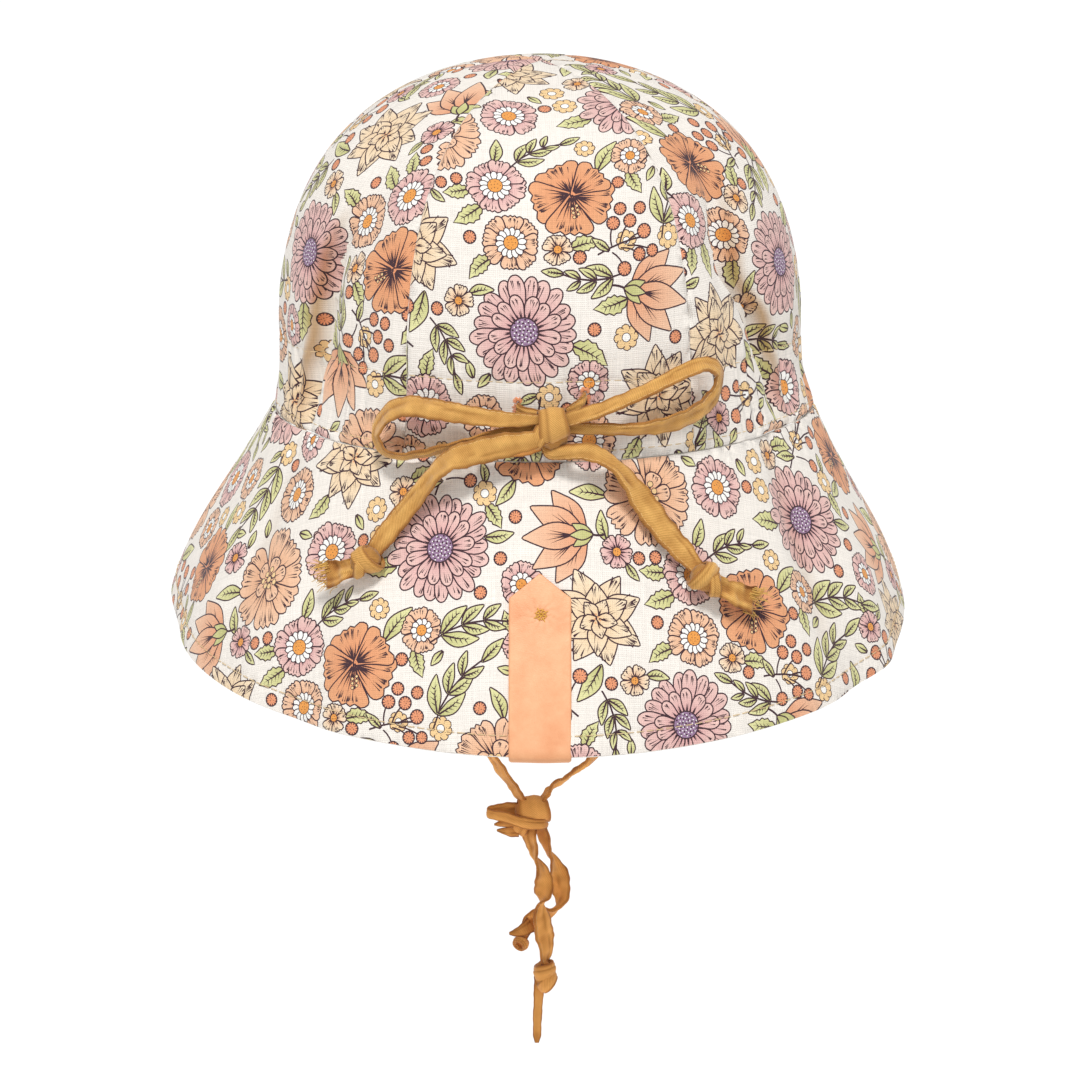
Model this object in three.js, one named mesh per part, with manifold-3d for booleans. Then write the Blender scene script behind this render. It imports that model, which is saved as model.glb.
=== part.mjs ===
// Legionnaire sun hat for a small child: a crown of six sewn linen panels, a neck flap, a soft peak, a drawstring
// tied in a bow at the nape, a leather tag over the hem, and chin ties knotted under the hat. Millimetres.
// +Y is the way the wearer faces, +X the wearer's right, +Z up. The origin is the centre of the head opening, level
// with the seam between crown and flap. An azimuth is an angle round the head in degrees: 0 at the nape (-Y),
// 90 at the right ear (+X), 180 over the face (+Y).
import * as THREE from 'three';
import Module from 'manifold-3d';
import { mergeVertices } from 'three/addons/utils/BufferGeometryUtils.js';

const wasm = await Module();
wasm.setup();

// Driving sizes
const GAP = 0.3; // between neighbouring pieces
const CLOTH = 1.8; // two layers of linen and what is turned in between them

// Crown: its plan is an ellipse, and its side view a dome with upright walls.
const CROWN_HEIGHT = 107.2;
const CROWN_HALF_WIDTH = 79.6;
const CROWN_HALF_LENGTH = 89.5;
const SHOULDER = 3.5; // how square the dome's shoulder is
const SEAM_FLARE = 0.035; // how much wider the crown is at its lower seam
const FLARE_HEIGHT = 22; // the height of the drawstring casing, where the flare ends
const ROW_EVENNESS = 0.57; // spaces the rows of the dome evenly along its surface
const TIP_CLIMB = 0.9915; // where a panel's tip ends, short of the very top

// Neck flap
const FLAP_END = 118; // the azimuth of its front edges
const HEM_HALF_WIDTH = 114.5;
const HEM_HALF_LENGTH = 125;
const DROP_AT_EAR = 63.5;
const DROP_AT_NAPE = 82.4;
const LOWEST_AZIMUTH = 2; // where the hem hangs lowest
const BELLY = 0.075; // how far the flap bows out, as a share of its flare
const BELLY_POWER = 1.8;
const CORNER_SPAN = 16; // degrees over which its front corners are rounded
const CORNER_RISE = 0.42; // the share of the flap's drop that a corner rounds away

// Peak
const PEAK_END = 60.6; // degrees each side of the face
const PEAK_DEPTH = 54;
const PEAK_END_DEPTH = 3;
const PEAK_SLOPE = 0.42; // how much it falls for each millimetre out
const PEAK_CLOTH = 2.4;

// Leather tag, folded over the hem at the nape
const TAG_WIDTH = 18.4;
const TAG_TIP_LENGTH = 7.5; // from its point to its shoulders
const TAG_LEATHER = 1.3;
const TAG_CLEARANCE = 0.45; // between the leather and the curved cloth it is folded over
const TAG_TOP = 0.62; // how far up the flap its outer leg reaches
const TAG_INNER_TOP = 0.22;

// Ties: flat tape of folded linen
const TAPE_THICK = 1.3;
const BOW_WIDTH = 7.8;
const CHIN_WIDTH = 6.2;

// Buttonholes in the casing's outer layer, where the drawstring comes out
const BUTTONHOLE = { width: 2, height: 5.6, depth: 1.1 };
const BUTTONHOLES = [
  { side: 'left', x: -6.5, z: 15.6 },
  { side: 'right', x: 13.4, z: 18.7 },
];

function table(columns, rows) {
  const names = columns.split(' ');
  return rows.map((row) => Object.fromEntries(names.map((name, i) => [name, row[i]])));
}

// Folds that the drawstring draws into the crown. Depth is into the crown, spread is half a fold's width in degrees.
const FOLDS = [
  table('height azimuth depth spread', [
    [0, -60, 1.2, 5],
    [13, -60, 3.0, 4.5],
    [24, -57, 4.0, 4.5],
    [47, -56, 4.0, 5],
    [64, -47, 3.0, 8],
    [80, -48, 2.2, 9],
    [96, -52, 1.0, 10],
    [CROWN_HEIGHT, -52, 0, 10],
  ]),
  table('height azimuth depth spread', [
    [0, 62, 1.0, 6],
    [12, 62, 2.5, 6],
    [24, 60, 3.5, 6],
    [40, 54, 4.0, 7],
    [57, 48, 4.5, 8],
    [78, 52, 3.0, 8],
    [96, 54, 1.2, 10],
    [CROWN_HEIGHT, 54, 0, 10],
  ]),
];

// Where panels bulge out between the folds. Depth is negative, out of the crown.
const BULGES = [
  table('height azimuth depth spread', [
    [0, 2, 0, 24],
    [40, 2, -1.5, 24],
    [70, 2, -2.0, 24],
    [96, 2, -1.0, 24],
    [CROWN_HEIGHT, 2, 0, 24],
  ]),
  table('height azimuth depth spread', [
    [0, -78, 0, 14],
    [40, -78, -1.5, 14],
    [80, -76, -1.5, 14],
    [CROWN_HEIGHT, -76, 0, 14],
  ]),
  table('height azimuth depth spread', [
    [0, 88, -2.4, 16],
    [14, 86, -0.8, 16],
    [40, 80, -1.5, 14],
    [80, 78, -1.5, 14],
    [CROWN_HEIGHT, 78, 0, 14],
  ]),
];

const CROWN_PANELS = table('name from to columns', [
  ['crown_back', -30.5, 35, 12],
  ['crown_back_right', 35, 91, 14],
  ['crown_front_right', 91, 148, 9],
  ['crown_front', 148, 212, 9],
  ['crown_front_left', 212, 270, 9],
  ['crown_back_left', 270, 329.5, 14],
]);
const CROWN_ROWS = 13;

// Routes of the tapes: a point, the way the tape's face looks there, and its width. They are laid by hand.
const BOW_ROUTES = {
  bow_root_left: table('x y z face_x face_y face_z width', [
    [-6.5, -89.3, 15.6, -1, 0, 0, 4.6],
    [-6.4, -91.2, 15.5, -1, 0, 0, 4.6],
    [-4.6, -92.6, 14.8, -0.8, -0.6, 0, 4.6],
    [0, -93.2, 14.2, 0, -1, 0, 3.6],
  ]),
  bow_root_right: table('x y z face_x face_y face_z width', [
    [13.4, -88.3, 18.7, 1, 0, 0, 4.6],
    [13.3, -90.6, 18.5, 1, 0, 0, 4.6],
    [11.8, -92.0, 17.2, 0.6, -0.8, 0, 4.6],
    [7.8, -93.2, 14.6, 0.2, -0.95, 0.1, 4],
  ]),
  bow_loop_left: table('x y z face_x face_y face_z width', [
    [-0.9, -96.7, 13.3, 0, -1, 0, 4.6],
    [-10.4, -96.4, 13.4, 0, -1, 0.2, 6],
    [-20.8, -93.9, 14.2, 0, -1, 0.35, 6.8],
    [-31.2, -90.0, 15.3, 0, -0.9, 0.5, BOW_WIDTH],
    [-40.2, -85.4, 15.4, -0.3, -0.8, 0.6, BOW_WIDTH],
    [-46.4, -82.2, 11.6, -0.8, -0.5, 0.3, 6.6],
    [-49.2, -81.0, 5.6, -1, -0.4, 0, 6],
    [-47.0, -82.3, 1.2, -0.6, -0.4, -0.7, 6],
    [-42.5, -85.2, -0.3, 0, -0.45, -0.9, 6.4],
    [-34.0, -89.0, 1.4, 0, -0.45, -0.9, 6.6],
    [-25.0, -92.0, 4.4, 0, -0.5, -0.85, 6],
    [-12.0, -94.2, 8.0, 0, -0.8, -0.5, 5],
    [-0.9, -94.4, 9.6, 0, -1, 0, 4.4],
  ]),
  bow_loop_right: table('x y z face_x face_y face_z width', [
    [8.8, -96.9, 13.6, 0, -1, 0.1, 4.6],
    [17.8, -96.0, 16.3, 0, -0.8, 0.6, 6],
    [29.7, -91.7, 20.6, 0, -0.6, 0.8, BOW_WIDTH],
    [41.7, -85.2, 25.2, 0.1, -0.55, 0.8, BOW_WIDTH],
    [49.2, -79.8, 27.0, 0.3, -0.5, 0.8, 7],
    [53.4, -76.5, 24.4, 1, -0.4, 0.3, 6.6],
    [53.2, -76.0, 19.0, 1, -0.5, -0.2, 6.6],
    [49.6, -78.6, 13.8, 0.5, -0.75, -0.4, 7],
    [41.7, -84.4, 10.6, 0.2, -0.85, -0.45, BOW_WIDTH],
    [29.7, -90.2, 9.2, 0, -0.85, -0.4, 7],
    [17.8, -93.4, 9.8, 0, -0.95, -0.2, 5.6],
    [8.8, -94.4, 10.2, 0, -1, 0, 4.6],
  ]),
  bow_tail_left: table('x y z face_x face_y face_z width', [
    [-0.4, -98.4, 7.9, 0, -1, 0, 5],
    [-6.0, -98.6, 6.8, 0, -1, 0.1, 6.4],
    [-12.0, -98.4, 5.6, 0, -1, 0.1, BOW_WIDTH],
    [-20.8, -97.9, 3.4, 0, -0.95, 0.3, BOW_WIDTH],
    [-27.2, -96.8, 1.0, -0.4, -0.8, 0.5, 7],
    [-31.8, -94.9, -3.6, -0.8, -0.55, 0.1, 6.2],
    [-38.0, -93.0, -12.0, -0.35, -0.85, 0.4, 6.4],
    [-44.6, -93.2, -20.2, -0.2, -0.85, 0.45, 6.6],
    [-49.0, -94.6, -26.0, -0.2, -0.9, 0.45, 5.6],
  ]),
  bow_tail_right: table('x y z face_x face_y face_z width', [
    [3.4, -96.6, 3.1, 0, -1, 0, 4],
    [8.8, -97.8, 3.8, 0, -1, 0, 4.8],
    [14.6, -98.0, 3.9, 0.1, -0.95, 0.2, 6.4],
    [20.8, -96.9, 0.9, 0.4, -0.5, 0.75, 7],
    [26.1, -96.2, -4.6, 0.7, -0.6, 0.35, 7],
    [31.2, -95.9, -12.3, 0.2, -0.85, 0.4, BOW_WIDTH],
    [37.2, -96.6, -20.2, 0.2, -0.85, 0.45, BOW_WIDTH],
    [42.6, -97.2, -26.4, 0.2, -0.85, 0.45, 7],
    [46.3, -98.5, -30.6, 0.2, -0.9, 0.45, 5],
  ]),
};

const CHIN_ROUTES = {
  chin_strap_left: table('x y z face_x face_y face_z width', [
    [-77.9, 0, 9, -1, 0, 0, CHIN_WIDTH],
    [-77.6, 0, -1, -1, 0, 0, CHIN_WIDTH],
    [-71.5, 0, -12, -0.9, 0, 0.4, CHIN_WIDTH],
    [-56, 0, -40, -0.9, -0.1, 0.4, CHIN_WIDTH],
    [-38, 0, -72, -0.85, -0.3, 0.4, CHIN_WIDTH],
    [-14.7, 0, -113.1, -0.8, -0.5, -0.4, CHIN_WIDTH],
    [-10.6, 0, -119.5, -0.7, -0.5, -0.5, CHIN_WIDTH],
    [-7.6, 0, -123.9, -0.7, -0.5, -0.5, 5.6],
    [-5.7, 0, -126.8, -0.7, -0.6, -0.4, 4.4],
  ]),
  chin_strap_right: table('x y z face_x face_y face_z width', [
    [77.9, 0, 9, 1, 0, 0, CHIN_WIDTH],
    [77.6, 0, -1, 1, 0, 0, CHIN_WIDTH],
    [72, 0, -12, 0.9, 0, 0.4, CHIN_WIDTH],
    [57.5, 0, -40, 0.85, -0.2, 0.4, CHIN_WIDTH],
    [40, 0, -72, 0.7, -0.5, 0.4, CHIN_WIDTH],
    [16.2, 0, -113.4, 0.6, -0.6, -0.4, CHIN_WIDTH],
    [12.8, 0, -116.3, 0.5, -0.5, -0.7, CHIN_WIDTH],
    [8.7, 0, -119.2, 0.6, -0.2, -0.8, 5],
    [5.3, 0, -121.5, 0.6, 0.1, -0.8, 4.6],
    [2.8, 0, -123.9, 0.7, 0.2, -0.6, 4.8],
    [0.9, 0, -126.4, 0.8, 0.3, -0.6, 4.2],
  ]),
  chin_tail_left: table('x y z face_x face_y face_z width', [
    [-3.3, -1.2, -137.7, -0.5, -0.9, 0, 5],
    [-2.5, -1.5, -141.3, -0.7, -0.7, -0.1, 5],
    [-1.6, -1.8, -144.5, -0.9, -0.2, -0.3, 4.8],
    [0.2, -2, -148.6, -0.8, 0.6, -0.3, 5.4],
    [1.1, -2.2, -152.8, -0.2, 1, 0, CHIN_WIDTH],
    [1.1, -2.2, -156.6, 0.6, 0.8, -0.1, 6],
    [0.3, -2.4, -160.1, 1, 0, 0, 4.4],
    [0.8, -2.6, -164, 0.7, -0.7, 0.1, 5.2],
    [1.3, -2.2, -168.3, 0.5, -0.8, -0.1, 6],
    [1.9, -1.2, -173.4, 0.7, -0.7, -0.1, 5.2],
    [1.6, -0.7, -178.6, 0.9, -0.5, -0.1, 4],
  ]),
  chin_tail_right: table('x y z face_x face_y face_z width', [
    [0.6, 1.6, -137.2, -0.6, -0.8, -0.1, 4.6],
    [1.6, 1.6, -140.8, -0.8, -0.6, -0.3, 4.8],
    [2.8, 2, -144.5, -0.9, -0.1, -0.4, 5],
    [4.2, 2.6, -147.5, -0.8, 0.5, -0.3, 5.6],
    [5.8, 2.8, -151.5, -0.3, 0.9, -0.1, CHIN_WIDTH],
    [6.6, 2.6, -155.6, 0.2, 1, 0, CHIN_WIDTH],
    [6.6, 2.6, -159.2, 0.7, 0.7, -0.1, 5.6],
    [5, 2.8, -162.3, 0.7, -0.2, -0.7, 4.6],
    [2.2, 3.8, -163.9, 0.1, -0.8, -0.5, 5],
    [-0.9, 4, -165.1, 0.3, -1, -0.1, 5.4],
    [-3.3, 2.6, -167.3, 0.3, -0.9, 0.3, 5.6],
    [-5.3, 0.8, -171.3, 0.1, -0.9, 0.4, 5],
  ]),
};

// ---- helpers ----

const radians = THREE.MathUtils.degToRad;
const degrees = THREE.MathUtils.radToDeg;
const mix = THREE.MathUtils.lerp;

// A column's value at the given height, eased from row to row.
function columnAt(rows, height, column) {
  if (height <= rows[0].height) return rows[0][column];
  const above = rows.findIndex((row) => row.height >= height);
  if (above < 0) return rows.at(-1)[column];
  const [low, high] = [rows[above - 1], rows[above]];
  return mix(low[column], high[column], THREE.MathUtils.smoothstep(height, low.height, high.height));
}

// How far the crown's cloth lies inside its plain dome.
function foldDepth(azimuth, height) {
  let depth = 0;
  for (const rows of [...FOLDS, ...BULGES]) {
    const off = THREE.MathUtils.euclideanModulo(azimuth - columnAt(rows, height, 'azimuth') + 180, 360) - 180;
    depth += columnAt(rows, height, 'depth') * Math.exp(-((off / columnAt(rows, height, 'spread')) ** 2));
  }
  return depth;
}

// A closed body from points and faces, turned right side out.
function body(points, faces) {
  const geometry = new THREE.BufferGeometry().setFromPoints(points);
  let volume = 0;
  for (const [a, b, c] of faces) {
    volume += points[a].dot(new THREE.Vector3().crossVectors(points[b], points[c]));
  }
  const outward = volume < 0 ? faces.map(([a, b, c]) => [a, c, b]) : faces;
  geometry.setIndex(outward.flat());
  geometry.computeVertexNormals();
  return geometry;
}

// A closed wall between two grids of points, which have the same rows and columns.
function wallBetween(outer, inner, columns, rows) {
  const inside = outer.length;
  const at = (i, j) => j * (columns + 1) + i;
  const faces = [];
  const quad = (a, b, c, d) => faces.push([a, b, c], [a, c, d]);
  for (let j = 0; j < rows; j++) {
    for (let i = 0; i < columns; i++) {
      const corners = [at(i, j), at(i + 1, j), at(i + 1, j + 1), at(i, j + 1)];
      quad(...corners);
      quad(...corners.map((k) => k + inside).reverse());
    }
  }
  const rim = [];
  for (let i = 0; i < columns; i++) rim.push(at(i, 0));
  for (let j = 0; j < rows; j++) rim.push(at(columns, j));
  for (let i = columns; i > 0; i--) rim.push(at(i, rows));
  for (let j = rows; j > 0; j--) rim.push(at(0, j));
  rim.forEach((a, k) => {
    const b = rim[(k + 1) % rim.length];
    quad(b, a, a + inside, b + inside);
  });
  return body([...outer, ...inner], faces);
}

const PROBE = 1e-3; // the step that finds a surface's slope
function normalOf(surface, across, along) {
  const right = surface(across + PROBE, along).sub(surface(across - PROBE, along));
  const up = surface(across, along + PROBE).sub(surface(across, along - PROBE));
  return right.cross(up).normalize();
}

// A wall whose outer face is surface(across, along), both from 0 to 1 and along running up.
function clothWall(surface, columns, rows, thick = CLOTH) {
  const outer = [];
  const inner = [];
  for (let j = 0; j <= rows; j++) {
    for (let i = 0; i <= columns; i++) {
      const point = surface(i / columns, j / rows);
      outer.push(point);
      inner.push(point.clone().addScaledVector(normalOf(surface, i / columns, j / rows), -thick));
    }
  }
  return wallBetween(outer, inner, columns, rows);
}

// A flat tape along a route of rows.
const TAPE_STEPS = 2; // sections for each row of the route
function tape(route) {
  const path = new THREE.CatmullRomCurve3(route.map(({ x, y, z }) => new THREE.Vector3(x, y, z)));
  const faces = new THREE.CatmullRomCurve3(
    route.map(({ face_x, face_y, face_z }) => new THREE.Vector3(face_x, face_y, face_z).normalize()),
  );
  const widths = new THREE.CatmullRomCurve3(route.map(({ width }, i) => new THREE.Vector3(i, width, 0)));
  const sections = (route.length - 1) * TAPE_STEPS;
  const front = [];
  const back = [];
  for (let j = 0; j <= sections; j++) {
    const t = j / sections;
    const centre = path.getPoint(t);
    const along = path.getTangent(t);
    const side = new THREE.Vector3().crossVectors(along, faces.getPoint(t)).normalize();
    const face = new THREE.Vector3().crossVectors(side, along).normalize();
    const half = widths.getPoint(t).y / 2;
    for (const reach of [-half, half]) {
      front.push(centre.clone().addScaledVector(side, reach).addScaledVector(face, TAPE_THICK / 2));
      back.push(centre.clone().addScaledVector(side, reach).addScaledVector(face, -TAPE_THICK / 2));
    }
  }
  return wallBetween(front, back, 1, sections);
}

// A rounded lump, between a ball and a box, for a pulled-tight knot.
const LUMP_SQUARENESS = 0.75;
function lump(centre, size, tilt = 0) {
  const geometry = new THREE.SphereGeometry(1, 12, 8);
  const place = geometry.attributes.position;
  for (let i = 0; i < place.count; i++) {
    const point = new THREE.Vector3().fromBufferAttribute(place, i);
    for (const axis of ['x', 'y', 'z']) {
      const share = Math.abs(point[axis]) < 1e-6 ? 0 : point[axis];
      point[axis] = Math.sign(share) * Math.abs(share) ** LUMP_SQUARENESS;
    }
    place.setXYZ(i, point.x, point.y, point.z);
  }
  geometry.scale(size[0] / 2, size[1] / 2, size[2] / 2);
  geometry.rotateY(radians(tilt));
  geometry.translate(...centre);
  return geometry;
}

function solid(geometry) {
  const bare = geometry.clone();
  bare.deleteAttribute('normal');
  bare.deleteAttribute('uv');
  const merged = mergeVertices(bare, 1e-4);
  return new wasm.Manifold(
    new wasm.Mesh({
      numProp: 3,
      vertProperties: new Float32Array(merged.attributes.position.array),
      triVerts: new Uint32Array(merged.index.array),
    }),
  );
}

function geometryOf(manifold) {
  const mesh = manifold.getMesh();
  const geometry = new THREE.BufferGeometry();
  geometry.setAttribute('position', new THREE.BufferAttribute(mesh.vertProperties, 3));
  geometry.setIndex(new THREE.BufferAttribute(mesh.triVerts, 1));
  geometry.computeVertexNormals();
  return geometry;
}

const joined = (...parts) => geometryOf(parts.map(solid).reduce((a, b) => a.add(b)));
const cut = (part, ...tools) => geometryOf(tools.map(solid).reduce((a, b) => a.subtract(b), solid(part)));

// ---- crown ----

function crownPoint(azimuth, climb) {
  const rise = 1 - (1 - climb) ** 2 * (1 + ROW_EVENNESS * climb);
  const height = CROWN_HEIGHT * rise;
  const flare = SEAM_FLARE * Math.max(0, 1 - height / FLARE_HEIGHT) ** 2;
  const reach = Math.sqrt(1 - Math.max(0, rise) ** SHOULDER) + flare;
  const depth = foldDepth(azimuth, height);
  const angle = radians(azimuth);
  return new THREE.Vector3(
    (CROWN_HALF_WIDTH * reach - depth) * Math.sin(angle),
    -(CROWN_HALF_LENGTH * reach - depth) * Math.cos(angle),
    height,
  );
}

function crownPanel({ from, to, columns }) {
  return clothWall((across, along) => {
    const climb = TIP_CLIMB * along;
    const middle = crownPoint(mix(from, to, 0.5), climb);
    const trim = degrees(Math.asin(GAP / 2 / Math.hypot(middle.x, middle.y)));
    return crownPoint(mix(from + trim, to - trim, across), climb);
  }, columns, CROWN_ROWS);
}

// The outer layer of the casing is cut by two upright buttonholes.
function backPanel(row) {
  const slots = BUTTONHOLES.map(({ x, z }) => {
    const surface = -CROWN_HALF_LENGTH * Math.sqrt(1 - (x / CROWN_HALF_WIDTH) ** 2);
    const slot = new THREE.BoxGeometry(BUTTONHOLE.width, 20, BUTTONHOLE.height);
    return slot.translate(x, surface - 10 + BUTTONHOLE.depth, z);
  });
  return cut(crownPanel(row), ...slots);
}

// ---- neck flap ----

// A point of the flap's outer face: fall is 0 at the crown and 1 at the hem.
function flapPoint(azimuth, fall) {
  const angle = radians(azimuth);
  const flare = fall + BELLY * Math.sin(Math.PI * Math.max(0, fall) ** BELLY_POWER);
  const seam = 1 + SEAM_FLARE;
  const depth = foldDepth(azimuth, 0) * (1 - fall) ** 2;
  const drop = mix(DROP_AT_EAR, DROP_AT_NAPE, Math.cos(radians(azimuth - LOWEST_AZIMUTH)));
  const width = mix(CROWN_HALF_WIDTH * seam, HEM_HALF_WIDTH, flare) - depth;
  const length = mix(CROWN_HALF_LENGTH * seam, HEM_HALF_LENGTH, flare) - depth;
  return new THREE.Vector3(width * Math.sin(angle), -length * Math.cos(angle), -GAP - drop * fall);
}

// How much of the drop is left at an azimuth, less than 1 where the front corners are rounded.
function hemShare(azimuth) {
  const into = Math.max(0, (Math.abs(azimuth) - FLAP_END + CORNER_SPAN) / CORNER_SPAN);
  return 1 - CORNER_RISE * (1 - Math.sqrt(Math.max(0, 1 - into ** 2)));
}

function neckFlap() {
  return clothWall((across, along) => {
    const azimuth = mix(-FLAP_END, FLAP_END, across);
    return flapPoint(azimuth, (1 - along) * hemShare(azimuth));
  }, 48, 7);
}

// ---- peak ----

function peakPoint(azimuth, out) {
  const angle = radians(azimuth);
  const share = Math.cos((angle * 90) / PEAK_END);
  const reach = out * (PEAK_END_DEPTH + (PEAK_DEPTH - PEAK_END_DEPTH) * Math.max(0, share) ** 0.9);
  const seam = 1 + SEAM_FLARE;
  const droop = PEAK_SLOPE * reach * (1 + 0.4 * Math.sin(angle) ** 2);
  return new THREE.Vector3(
    CROWN_HALF_WIDTH * seam * Math.sin(angle) + reach * Math.sin(angle) * 0.6,
    CROWN_HALF_LENGTH * seam * Math.cos(angle) + reach,
    -2 * GAP - droop,
  );
}

function frontPeak() {
  return clothWall((across, along) => peakPoint(mix(-PEAK_END, PEAK_END, across), along), 22, 5, PEAK_CLOTH);
}

// ---- leather tag ----

// The flap's outer face at a distance x beside the middle of the tag, with the way it looks there.
function underTag(x, fall) {
  const width = flapPoint(90, fall).x;
  const surface = (across, along) => flapPoint(across * 90, 1 - along);
  const across = degrees(Math.asin(x / width)) / 90;
  return { point: flapPoint(across * 90, fall), look: normalOf(surface, across, 1 - fall) };
}

// The tag's stations, from its point down the outside, round the hem, and up the inside of the flap.
function tagStations() {
  const stations = [];
  const legStep = 0.07;
  for (let fall = 1 - TAG_TOP; fall < 1 - legStep / 2; fall += legStep) stations.push({ fall, turn: 0 });
  for (let turn = 0; turn <= 180; turn += 36) stations.push({ fall: 1, turn });
  for (let fall = 1 - legStep; fall > 1 - TAG_INNER_TOP; fall -= legStep) stations.push({ fall, turn: 180 });
  return stations;
}

function leatherTag() {
  const columns = 6;
  const stations = tagStations();
  const start = underTag(0, stations[0].fall).point;
  const outer = [];
  const inner = [];
  for (const { fall, turn } of stations) {
    const fromTip = turn === 0 ? start.distanceTo(underTag(0, fall).point) : Infinity;
    const half = (TAG_WIDTH / 2) * Math.min(1, 0.08 + (0.92 * fromTip) / TAG_TIP_LENGTH);
    for (let i = 0; i <= columns; i++) {
      const x = mix(-half, half, i / columns);
      const { point, look } = underTag(x, fall);
      const down = new THREE.Vector3(0, look.z, -look.y).multiplyScalar(-1).normalize();
      const middle = point.addScaledVector(look, -CLOTH / 2);
      const angle = radians(turn);
      const layer = (leather) => middle
        .clone()
        .addScaledVector(look, (CLOTH / 2 + TAG_CLEARANCE + leather) * Math.cos(angle))
        .addScaledVector(down, (TAG_CLEARANCE + leather) * Math.sin(angle));
      inner.push(layer(0));
      outer.push(layer(TAG_LEATHER));
    }
  }
  return wallBetween(outer, inner, columns, stations.length - 1);
}

// ---- knots ----

const BOW_KNOT = { centre: [3.95, -96.2, 11.2], size: [9.2, 7.2, 10.4], tilt: 8 };
const CHIN_KNOT = { centre: [-2.1, 0, -130.4], size: [10.8, 8.4, 7.8], tilt: 0 };

// A knot at the end of a tail, with the frayed end that stands out of it.
function endKnot(centre, size, tilt, end) {
  return joined(lump(centre, size, tilt), tape(end));
}

function bowEndLeft() {
  const frayed = table('x y z face_x face_y face_z width', [
    [-55, -94.6, -31.6, -0.3, -0.85, 0.4, 5],
    [-60, -92.4, -33.8, -0.4, -0.85, 0.4, 7.2],
    [-65.4, -90.2, -35.6, -0.5, -0.8, 0.4, 8.6],
  ]);
  return endKnot([-51.9, -95.7, -29.5], [9.6, 6.4, 8.4], 30, frayed);
}

function bowEndRight() {
  const frayed = table('x y z face_x face_y face_z width', [
    [51, -99.2, -36.4, 0.3, -0.85, 0.4, 6],
    [58, -96, -40, 0.4, -0.85, 0.4, 7.4],
    [65.6, -91.6, -43, 0.5, -0.8, 0.4, 8.6],
  ]);
  return endKnot([49.2, -99.6, -34], [10.4, 6.4, 8.4], -30, frayed);
}

function chinEndLeft() {
  const thin = table('x y z face_x face_y face_z width', [
    [0.4, -0.4, -186, 0, -1, 0, 3],
    [-0.6, -0.3, -194, 0, -1, 0, 2.8],
    [-0.9, -0.2, -206, 0, -1, 0, 2.6],
  ]);
  return endKnot([1.4, -0.5, -184.2], [6.4, 5.6, 10.2], 12, thin);
}

// The chin knot's body, the band round it and the two small loops left standing out of it.
function chinKnot() {
  const band = lump([-5.6, -1.6, -132.9], [14, 6.6, 4.6], 16);
  const lowerWrap = lump([-3.6, 0.4, -135], [10, 6, 4.6], 4);
  const upperLoop = lump([-13, -0.4, -131.2], [8.4, 3.8, 3.4], 2);
  const lowerLoop = lump([-10.2, 0.6, -135.2], [7.4, 3.8, 4.4], -6);
  const knot = lump(CHIN_KNOT.centre, CHIN_KNOT.size, CHIN_KNOT.tilt);
  return joined(knot, band, lowerWrap, upperLoop, lowerLoop);
}

// ---- the hat ----

const MATERIALS = {
  print: { color: '#f3ded0', roughness: 0.9, metalness: 0 },
  linen: { color: '#c8963f', roughness: 0.85, metalness: 0 },
  leather: { color: '#f5bf92', roughness: 0.6, metalness: 0 },
};

const hat = new THREE.Group();
function add(name, geometry, finish) {
  const mesh = new THREE.Mesh(geometry, new THREE.MeshStandardMaterial(MATERIALS[finish]));
  mesh.name = name;
  hat.add(mesh);
}

for (const row of CROWN_PANELS) {
  add(row.name, row.name === 'crown_back' ? backPanel(row) : crownPanel(row), 'print');
}
add('neck_flap', neckFlap(), 'print');
add('front_peak', frontPeak(), 'print');
add('leather_tag', leatherTag(), 'leather');
add('bow_knot', lump(BOW_KNOT.centre, BOW_KNOT.size, BOW_KNOT.tilt), 'linen');
add('chin_knot', chinKnot(), 'linen');
for (const [name, route] of Object.entries({ ...BOW_ROUTES, ...CHIN_ROUTES })) add(name, tape(route), 'linen');
add('bow_end_left', bowEndLeft(), 'linen');
add('bow_end_right', bowEndRight(), 'linen');
add('chin_end_left', chinEndLeft(), 'linen');

export default hat;
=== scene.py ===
"""Legionnaire sun hat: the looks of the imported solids. The scene is in metres. The tables and formulas
are in millimetres, as the solids' are, and MM turns them into metres. An azimuth is an angle round the
head in degrees: 0 at the nape (-Y), 90 at the right ear (+X), 180 over the face."""
import cmath
import math
import random
from collections import namedtuple

import bpy
import numpy as np
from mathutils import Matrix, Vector
from mathutils.geometry import delaunay_2d_cdt


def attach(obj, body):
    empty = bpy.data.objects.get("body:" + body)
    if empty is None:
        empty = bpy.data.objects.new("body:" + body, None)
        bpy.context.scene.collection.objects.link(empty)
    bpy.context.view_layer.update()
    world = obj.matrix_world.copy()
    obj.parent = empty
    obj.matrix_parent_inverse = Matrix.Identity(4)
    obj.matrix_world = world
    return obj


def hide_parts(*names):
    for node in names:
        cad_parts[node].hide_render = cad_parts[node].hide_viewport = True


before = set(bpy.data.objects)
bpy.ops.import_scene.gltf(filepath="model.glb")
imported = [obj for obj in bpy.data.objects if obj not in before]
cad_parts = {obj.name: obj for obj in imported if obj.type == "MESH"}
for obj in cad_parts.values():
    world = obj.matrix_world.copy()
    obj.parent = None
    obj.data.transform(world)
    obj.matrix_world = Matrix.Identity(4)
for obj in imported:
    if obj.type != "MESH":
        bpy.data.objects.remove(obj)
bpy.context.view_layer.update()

MM = 0.001


# ---- camera ----

LOOK_AT = (0, 0, -0.0436)
CAMERA_DISTANCE = 2.4
CAMERA_ELEVATION = 12
FRAME_WIDTH = 0.3348  # what the frame spans at the point looked at
SENSOR = 36


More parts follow.
